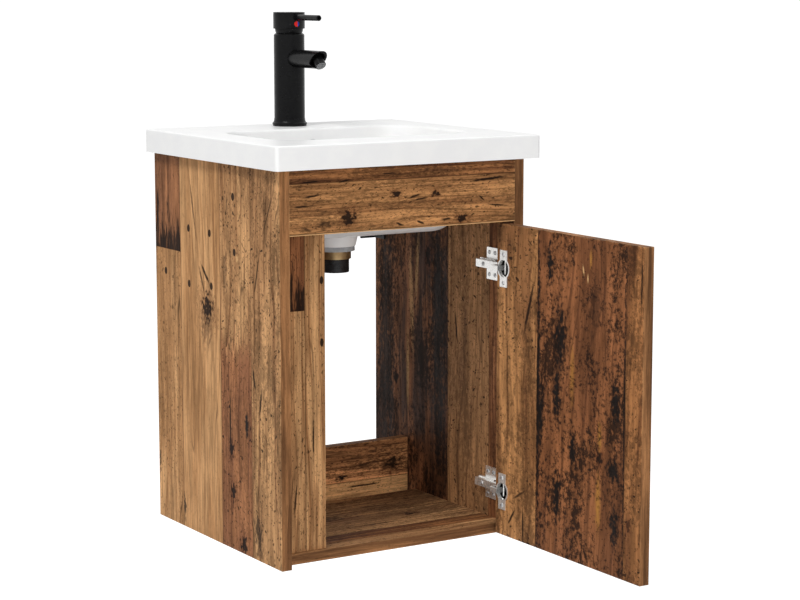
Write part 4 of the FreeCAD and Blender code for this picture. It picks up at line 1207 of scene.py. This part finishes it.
class Workshop:
    """Holds the materials and turns meshes into pieces that ride on the frame."""

    def __init__(self) -> None:
        """Build the shared effects and every material."""
        self.effects = SharedEffects()
        self.slots = {name: finish.material(self.effects) for name, finish in finishes().items()}
        self.boards = {finish.node: finish.material(self.effects) for finish in board_finishes()}
        self.repeats = Repeats()

    def dress_frame(self) -> None:
        """Give every CAD node its finish: a board's own wood, the cups' own metal with painted shade or the
        record's slot.
        """
        slots = {entry["node"]: entry["material_slot"] for entry in frame["record"]["subparts"]}
        for name, node in frame["nodes"].items():
            slot = "hinge_cup_nickel" if name.startswith("hinge_cup") else slots[name]
            material = self.boards.get(name) or self.slots[slot]
            node.data.materials.clear()
            node.data.materials.append(material)
            LOG.info("dressed %s in %s", name, material.name)

    def piece(self, name: str, mesh: Mesh, body: str, slot: str, stands_for: Sequence[str] = ()) -> None:
        """Put a finished mesh into the scene.

        Args:
            name: The piece's name.
            mesh: The mesh, already in place.
            body: The CAD body that it rides on.
            slot: The record's material slot that it takes its finish from.
            stands_for: CAD nodes that it replaces.
        """
        made = bpy.data.objects.new(name, mesh)
        bpy.context.scene.collection.objects.link(made)
        mesh.materials.clear()
        mesh.materials.append(self.slots[slot])
        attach(made, body)
        if stands_for:
            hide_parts(*stands_for)
        LOG.info("placed %s on %s with %d faces", name, body, len(mesh.polygons))

    def repeat(self, name: str, tree: Tree, points: Sequence[Vector], body: str, slot: str,
               stands_for: Sequence[str] = (), **values: object) -> None:
        """Run a repeat's tree with its values and put the result into the scene as one piece.

        Args:
            name: The piece's name.
            tree: The geometry node tree.
            points: Where its shapes stand, in metres.
            body: The CAD body that it rides on.
            slot: The record's material slot.
            stands_for: CAD nodes that it replaces.
            values: The tree's inputs by name.
        """
        mesh = self.repeats.made(name, tree, points, self.slots[slot], **values)
        self.piece(name, mesh, body, slot, stands_for)


@dataclass
class Screws:
    """The cross-head screws of the hinges and brackets, in mm."""

    workshop: Workshop
    head_radius: float = 3.1
    head_height: float = 1.2
    shank_radius: float = 1.8

    def build(self) -> None:
        """Set every screw in place of its plain CAD solid."""
        self._row("plate_screws", "cabinet", 1)
        self._row("arm_screws", "cabinet", 2)
        self._row("cup_screws", "door", 3)
        self._row("bracket_screws", "cabinet", 4)

    def _row(self, node: str, body: str, seed: int) -> None:
        """Replace the screws of one CAD node.

        Args:
            node: The CAD node with the plain screws.
            body: The body that they ride on.
            seed: Which random turns the recesses take.
        """
        head = self.head_height * MM
        sides = {Facing.LEFT: [], Facing.RIGHT: []}
        length = 0.0
        for low, high in solids_of(node):
            facing = Facing.RIGHT if high.x < 0 else Facing.LEFT
            seat = high.x - head if facing is Facing.RIGHT else low.x + head
            sides[facing].append(Vector((seat, (low.y + high.y) / 2, (low.z + high.z) / 2)))
            length = high.x - low.x - head
        for facing, seats in sides.items():
            if seats:
                self.workshop.repeat(
                    f"{node}_cross_heads_{facing.name.lower()}", self.workshop.repeats.screws, seats, body,
                    "zinc_steel", (node,), Head_radius=self.head_radius * MM, Head_height=head,
                    Shank_radius=self.shank_radius * MM, Shank_length=length, Facing=facing.value, Seed=seed)


@dataclass
class Waste:
    """The threaded tail below the basin, in mm."""

    workshop: Workshop
    radius: float = 20.5
    rib: float = 0.55
    pitch: float = 2.3
    margin: float = 1.2

    def build(self) -> None:
        """Wind the thread around the tail, from its end up to the nut."""
        low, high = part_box("waste_body")
        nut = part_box("waste_nut")[0]
        foot = low.z + self.margin * MM
        height = nut.z - foot - self.margin * MM
        middle = (low + high) / 2
        self.workshop.repeat(
            "waste_thread", self.workshop.repeats.thread, [middle], "cabinet", "waste_black",
            Turns=height / (self.pitch * MM), Radius=self.radius * MM, Height=height, Rib=self.rib * MM,
            Foot=(middle.x, middle.y, foot))


@dataclass
class Tap:
    """The turned pieces of the tap, in mm."""

    workshop: Workshop
    groove_drop: float = 2.4
    groove_width: float = 0.6
    groove_depth: float = 0.45
    rim: float = 0.6
    roof: float = 8.0
    dome_gap: float = 0.4
    dome_steps: int = 12
    dome_rise: float = 1.0
    flare_steps: int = 10
    foot_share: float = 0.32
    ring_gap: float = 0.03
    ring_wall: float = 0.35
    ring_chamfer: float = 0.3
    nozzle_radius: float = 7.8
    nozzle_depth: float = 16.0
    nozzle_steps: int = 64
    face_inset: float = 1.0
    peg: float = 0.42
    peg_height: float = 0.5
    peg_margin: float = 1.4
    peg_rows: int = 11

    def build(self) -> None:
        """Turn the head, the base ring and the aerator."""
        self._head()
        self._base()
        self._aerator()

    @staticmethod
    def _measure(node: str) -> tuple[float, float, Vector]:
        """Measure an upright round CAD node: its radius and height in mm, and the middle of its foot.

        Args:
            node: The node's name.

        Returns:
            The radius, the height and the foot's middle in metres.
        """
        low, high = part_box(node)
        foot = Vector(((low.x + high.x) / 2, (low.y + high.y) / 2, low.z))
        return (high.x - low.x) / 2 / MM, (high.z - low.z) / MM, foot

    def _head(self) -> None:
        """Turn the head with its thin groove, hollow for the dome below."""
        radius, height, centre = self._measure("tap_head")
        dome = self._measure("tap_carrier")[0] + self.dome_gap
        rim, top = self.rim, height - self.groove_drop
        outside = [(0, height), (radius - 3 * rim, height), (radius - rim, height - 0.3 * rim),
                   (radius, height - rim), (radius, top), (radius - self.groove_depth, top),
                   (radius - self.groove_depth, top - self.groove_width), (radius, top - self.groove_width),
                   (radius, rim), (radius - 0.5 * rim, 0.0), (dome, 0.0)]
        ceiling = height - self.roof
        levels = [ceiling * i / self.dome_steps for i in range(1, self.dome_steps + 1)]
        inside = [(math.sqrt(dome**2 - (level - self.dome_rise)**2), level) for level in levels]
        mesh = turned("tap_head_turned", outside + inside + [(0, ceiling)], centre, UPWARD)
        self.workshop.piece("tap_head_turned", mesh, "tap_handle", "tap_black", ("tap_head",))

    def _base(self) -> None:
        """Turn the base ring with its hollow flare."""
        radius, height, centre = self._measure("tap_base_ring")
        bore = self._measure("tap_body")[0] + self.ring_gap
        foot, lip, chamfer = self.foot_share * height, bore + self.ring_wall, self.ring_chamfer
        flare = []
        for i in range(self.flare_steps + 1):
            turn = math.pi / 2 * i / self.flare_steps
            flare.append((lip + (radius - chamfer - lip) * (1 - math.sin(turn)),
                          foot + (height - 0.2 - foot) * (1 - math.cos(turn))))
        profile = [(bore, 0.0), (radius - chamfer, 0.0), (radius, chamfer), (radius, foot - chamfer), *flare,
                   (lip, height), (bore, height)]
        mesh = turned("tap_base_flared", profile, centre, UPWARD, crease=30.0)
        self.workshop.piece("tap_base_flared", mesh, "cabinet", "tap_black", ("tap_base_ring",))

    def _aerator(self) -> None:
        """Turn the black nozzle that stands out of the spout's slanted mouth, with a grey pegged face."""
        outward = Vector((0, -1, -1)).normalized()
        low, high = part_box("tap_aerator")
        size, steps = self.nozzle_radius, self.nozzle_steps
        inward = size * MM * abs(outward.y)
        face = Vector(((low.x + high.x) / 2, low.y + inward, low.z + inward))
        inner = size - self.face_inset
        body = [(0, -0.5), (inner, -0.5), (inner, -0.2), (size - 0.4, 0.0), (size, -0.4),
                (size, -self.nozzle_depth), (0, -self.nozzle_depth)]
        disc = [(0, 0.0), (inner - 0.9, 0.0), (inner - 0.6, 0.3), (inner - 0.1, 0.1),
                (inner - 0.05, -0.45), (0, -0.45)]
        nozzle = turned("tap_nozzle", body, face, outward, steps)
        self.workshop.piece("tap_nozzle", nozzle, "cabinet", "tap_black", ("tap_aerator",))
        grey = turned("tap_aerator_face", disc, face, outward, steps)
        self.workshop.piece("tap_aerator_face", grey, "cabinet", "aerator_grey")
        self.workshop.repeat(
            "tap_aerator_pegs", self.workshop.repeats.spray, [face], "cabinet", "aerator_grey",
            Radius=(inner - self.peg_margin) * MM, Peg=self.peg * MM, Height=self.peg_height * MM,
            Rows=self.peg_rows, Place=tuple(face), Facing=tuple(outward.to_track_quat("Z", "Y").to_euler()))


@dataclass
class Studio:
    """The plain floor, the soft light, the white background and the camera."""

    floor_z: float = -0.70
    floor_half: float = 150.0
    floor_tone: float = 0.62
    floor_rough: float = 0.9
    floor_glow: float = 0.8
    camera_place: Colour = (-1.5625, -2.8708, 0.3694)
    camera_yaw: float = 31.90
    camera_pitch: float = 8.42
    lens: float = 98.15
    sensor: float = 36.0
    sky: float = 0.46
    lamps: tuple[tuple[str, Colour, float, float, bool], ...] = field(default_factory=lambda: (
        ("key_lamp", (-2.7, -1.3, 2.9), 1.5, 90.0, True),
        ("front_lamp", (-0.3, -3.8, 0.0), 2.4, 42.0, False),
        ("top_lamp", (0.2, -0.5, 3.0), 2.2, 13.0, True)))

    def build(self) -> None:
        """Set up everything around the part."""
        self._floor()
        self._world()
        self._lamps()
        self._camera()
        bpy.context.scene.view_settings.view_transform = "Standard"

    @staticmethod
    def _seen(sheet: NodeSheet) -> Wire:
        """Say where a ray sees the background: straight, by gloss or through glass.

        Args:
            sheet: The node sheet to draw on.

        Returns:
            1 where it does, else 0.
        """
        path = sheet.node("ShaderNodeLightPath").outputs
        straight, gloss, through = (Wire(sheet, path[name]) for name in (
            "Is Camera Ray", "Is Glossy Ray", "Is Transmission Ray"))
        return straight.most(gloss.most(through))

    def _floor(self) -> None:
        """Lay a pale floor below the hung unit, which keeps its shadow."""
        half, tone = self.floor_half, self.floor_tone
        mesh = bpy.data.meshes.new("floor")
        corners = [(x, y, self.floor_z)
                   for x, y in ((-half, -half), (half, -half), (half, half), (-half, half))]
        mesh.from_pydata(corners, [], [(0, 1, 2, 3)])
        floor = bpy.data.objects.new("floor", mesh)
        bpy.context.scene.collection.objects.link(floor)
        material, sheet, shader, _ = new_material("pale_floor")
        for name, value in (("Base Color", (tone, tone, tone)), ("Roughness", self.floor_rough),
                            ("Specular IOR Level", 0.0), ("Emission Color", WHITE),
                            ("Emission Strength", self._seen(sheet) * self.floor_glow)):
            sheet.feed(shader.inputs[name], value)
        mesh.materials.append(material)

    def _world(self) -> None:
        """Make a soft even sky that the camera, gloss and glass see as white."""
        world = bpy.data.worlds.new("studio")
        bpy.context.scene.world = world
        world.use_nodes = True
        sheet = NodeSheet(world.node_tree)
        sky = world.node_tree.nodes["Background"]
        sheet.feed(sky.inputs["Color"], WHITE)
        sheet.feed(sky.inputs["Strength"], self._seen(sheet).remap(0.0, 1.0, self.sky, 1.0, False))

    def _lamps(self) -> None:
        """Hang large soft lamps that look at the middle of the part; gloss doesn't see the front one."""
        middle = (Vector(CAD_BOX[0]) + Vector(CAD_BOX[1])) / 2
        for name, place, size, power, shines in self.lamps:
            lamp = bpy.data.lights.new(name, "AREA")
            lamp.shape, lamp.size, lamp.energy = "DISK", size, power
            hung = bpy.data.objects.new(name, lamp)
            hung.location = place
            hung.visible_glossy = shines
            hung.rotation_euler = (middle - Vector(place)).to_track_quat("-Z", "Y").to_euler()
            bpy.context.scene.collection.objects.link(hung)

    def _camera(self) -> None:
        """Stand the camera where the photograph was taken from."""
        lens = bpy.data.cameras.new("camera")
        lens.lens, lens.sensor_width, lens.sensor_fit = self.lens, self.sensor, "HORIZONTAL"
        camera = bpy.data.objects.new("camera", lens)
        camera.location = self.camera_place
        camera.rotation_euler = Euler((math.radians(90 - self.camera_pitch), 0.0,
                                       -math.radians(self.camera_yaw)))
        bpy.context.scene.collection.objects.link(camera)
        bpy.context.scene.camera = camera


def main() -> None:
    """Build the scene in order."""
    logging.basicConfig(level=logging.INFO, format="%(name)s: %(message)s")
    workshop = Workshop()
    workshop.dress_frame()
    Screws(workshop).build()
    Waste(workshop).build()
    Tap(workshop).build()
    Studio().build()


if __name__ == "__main__":
    main()
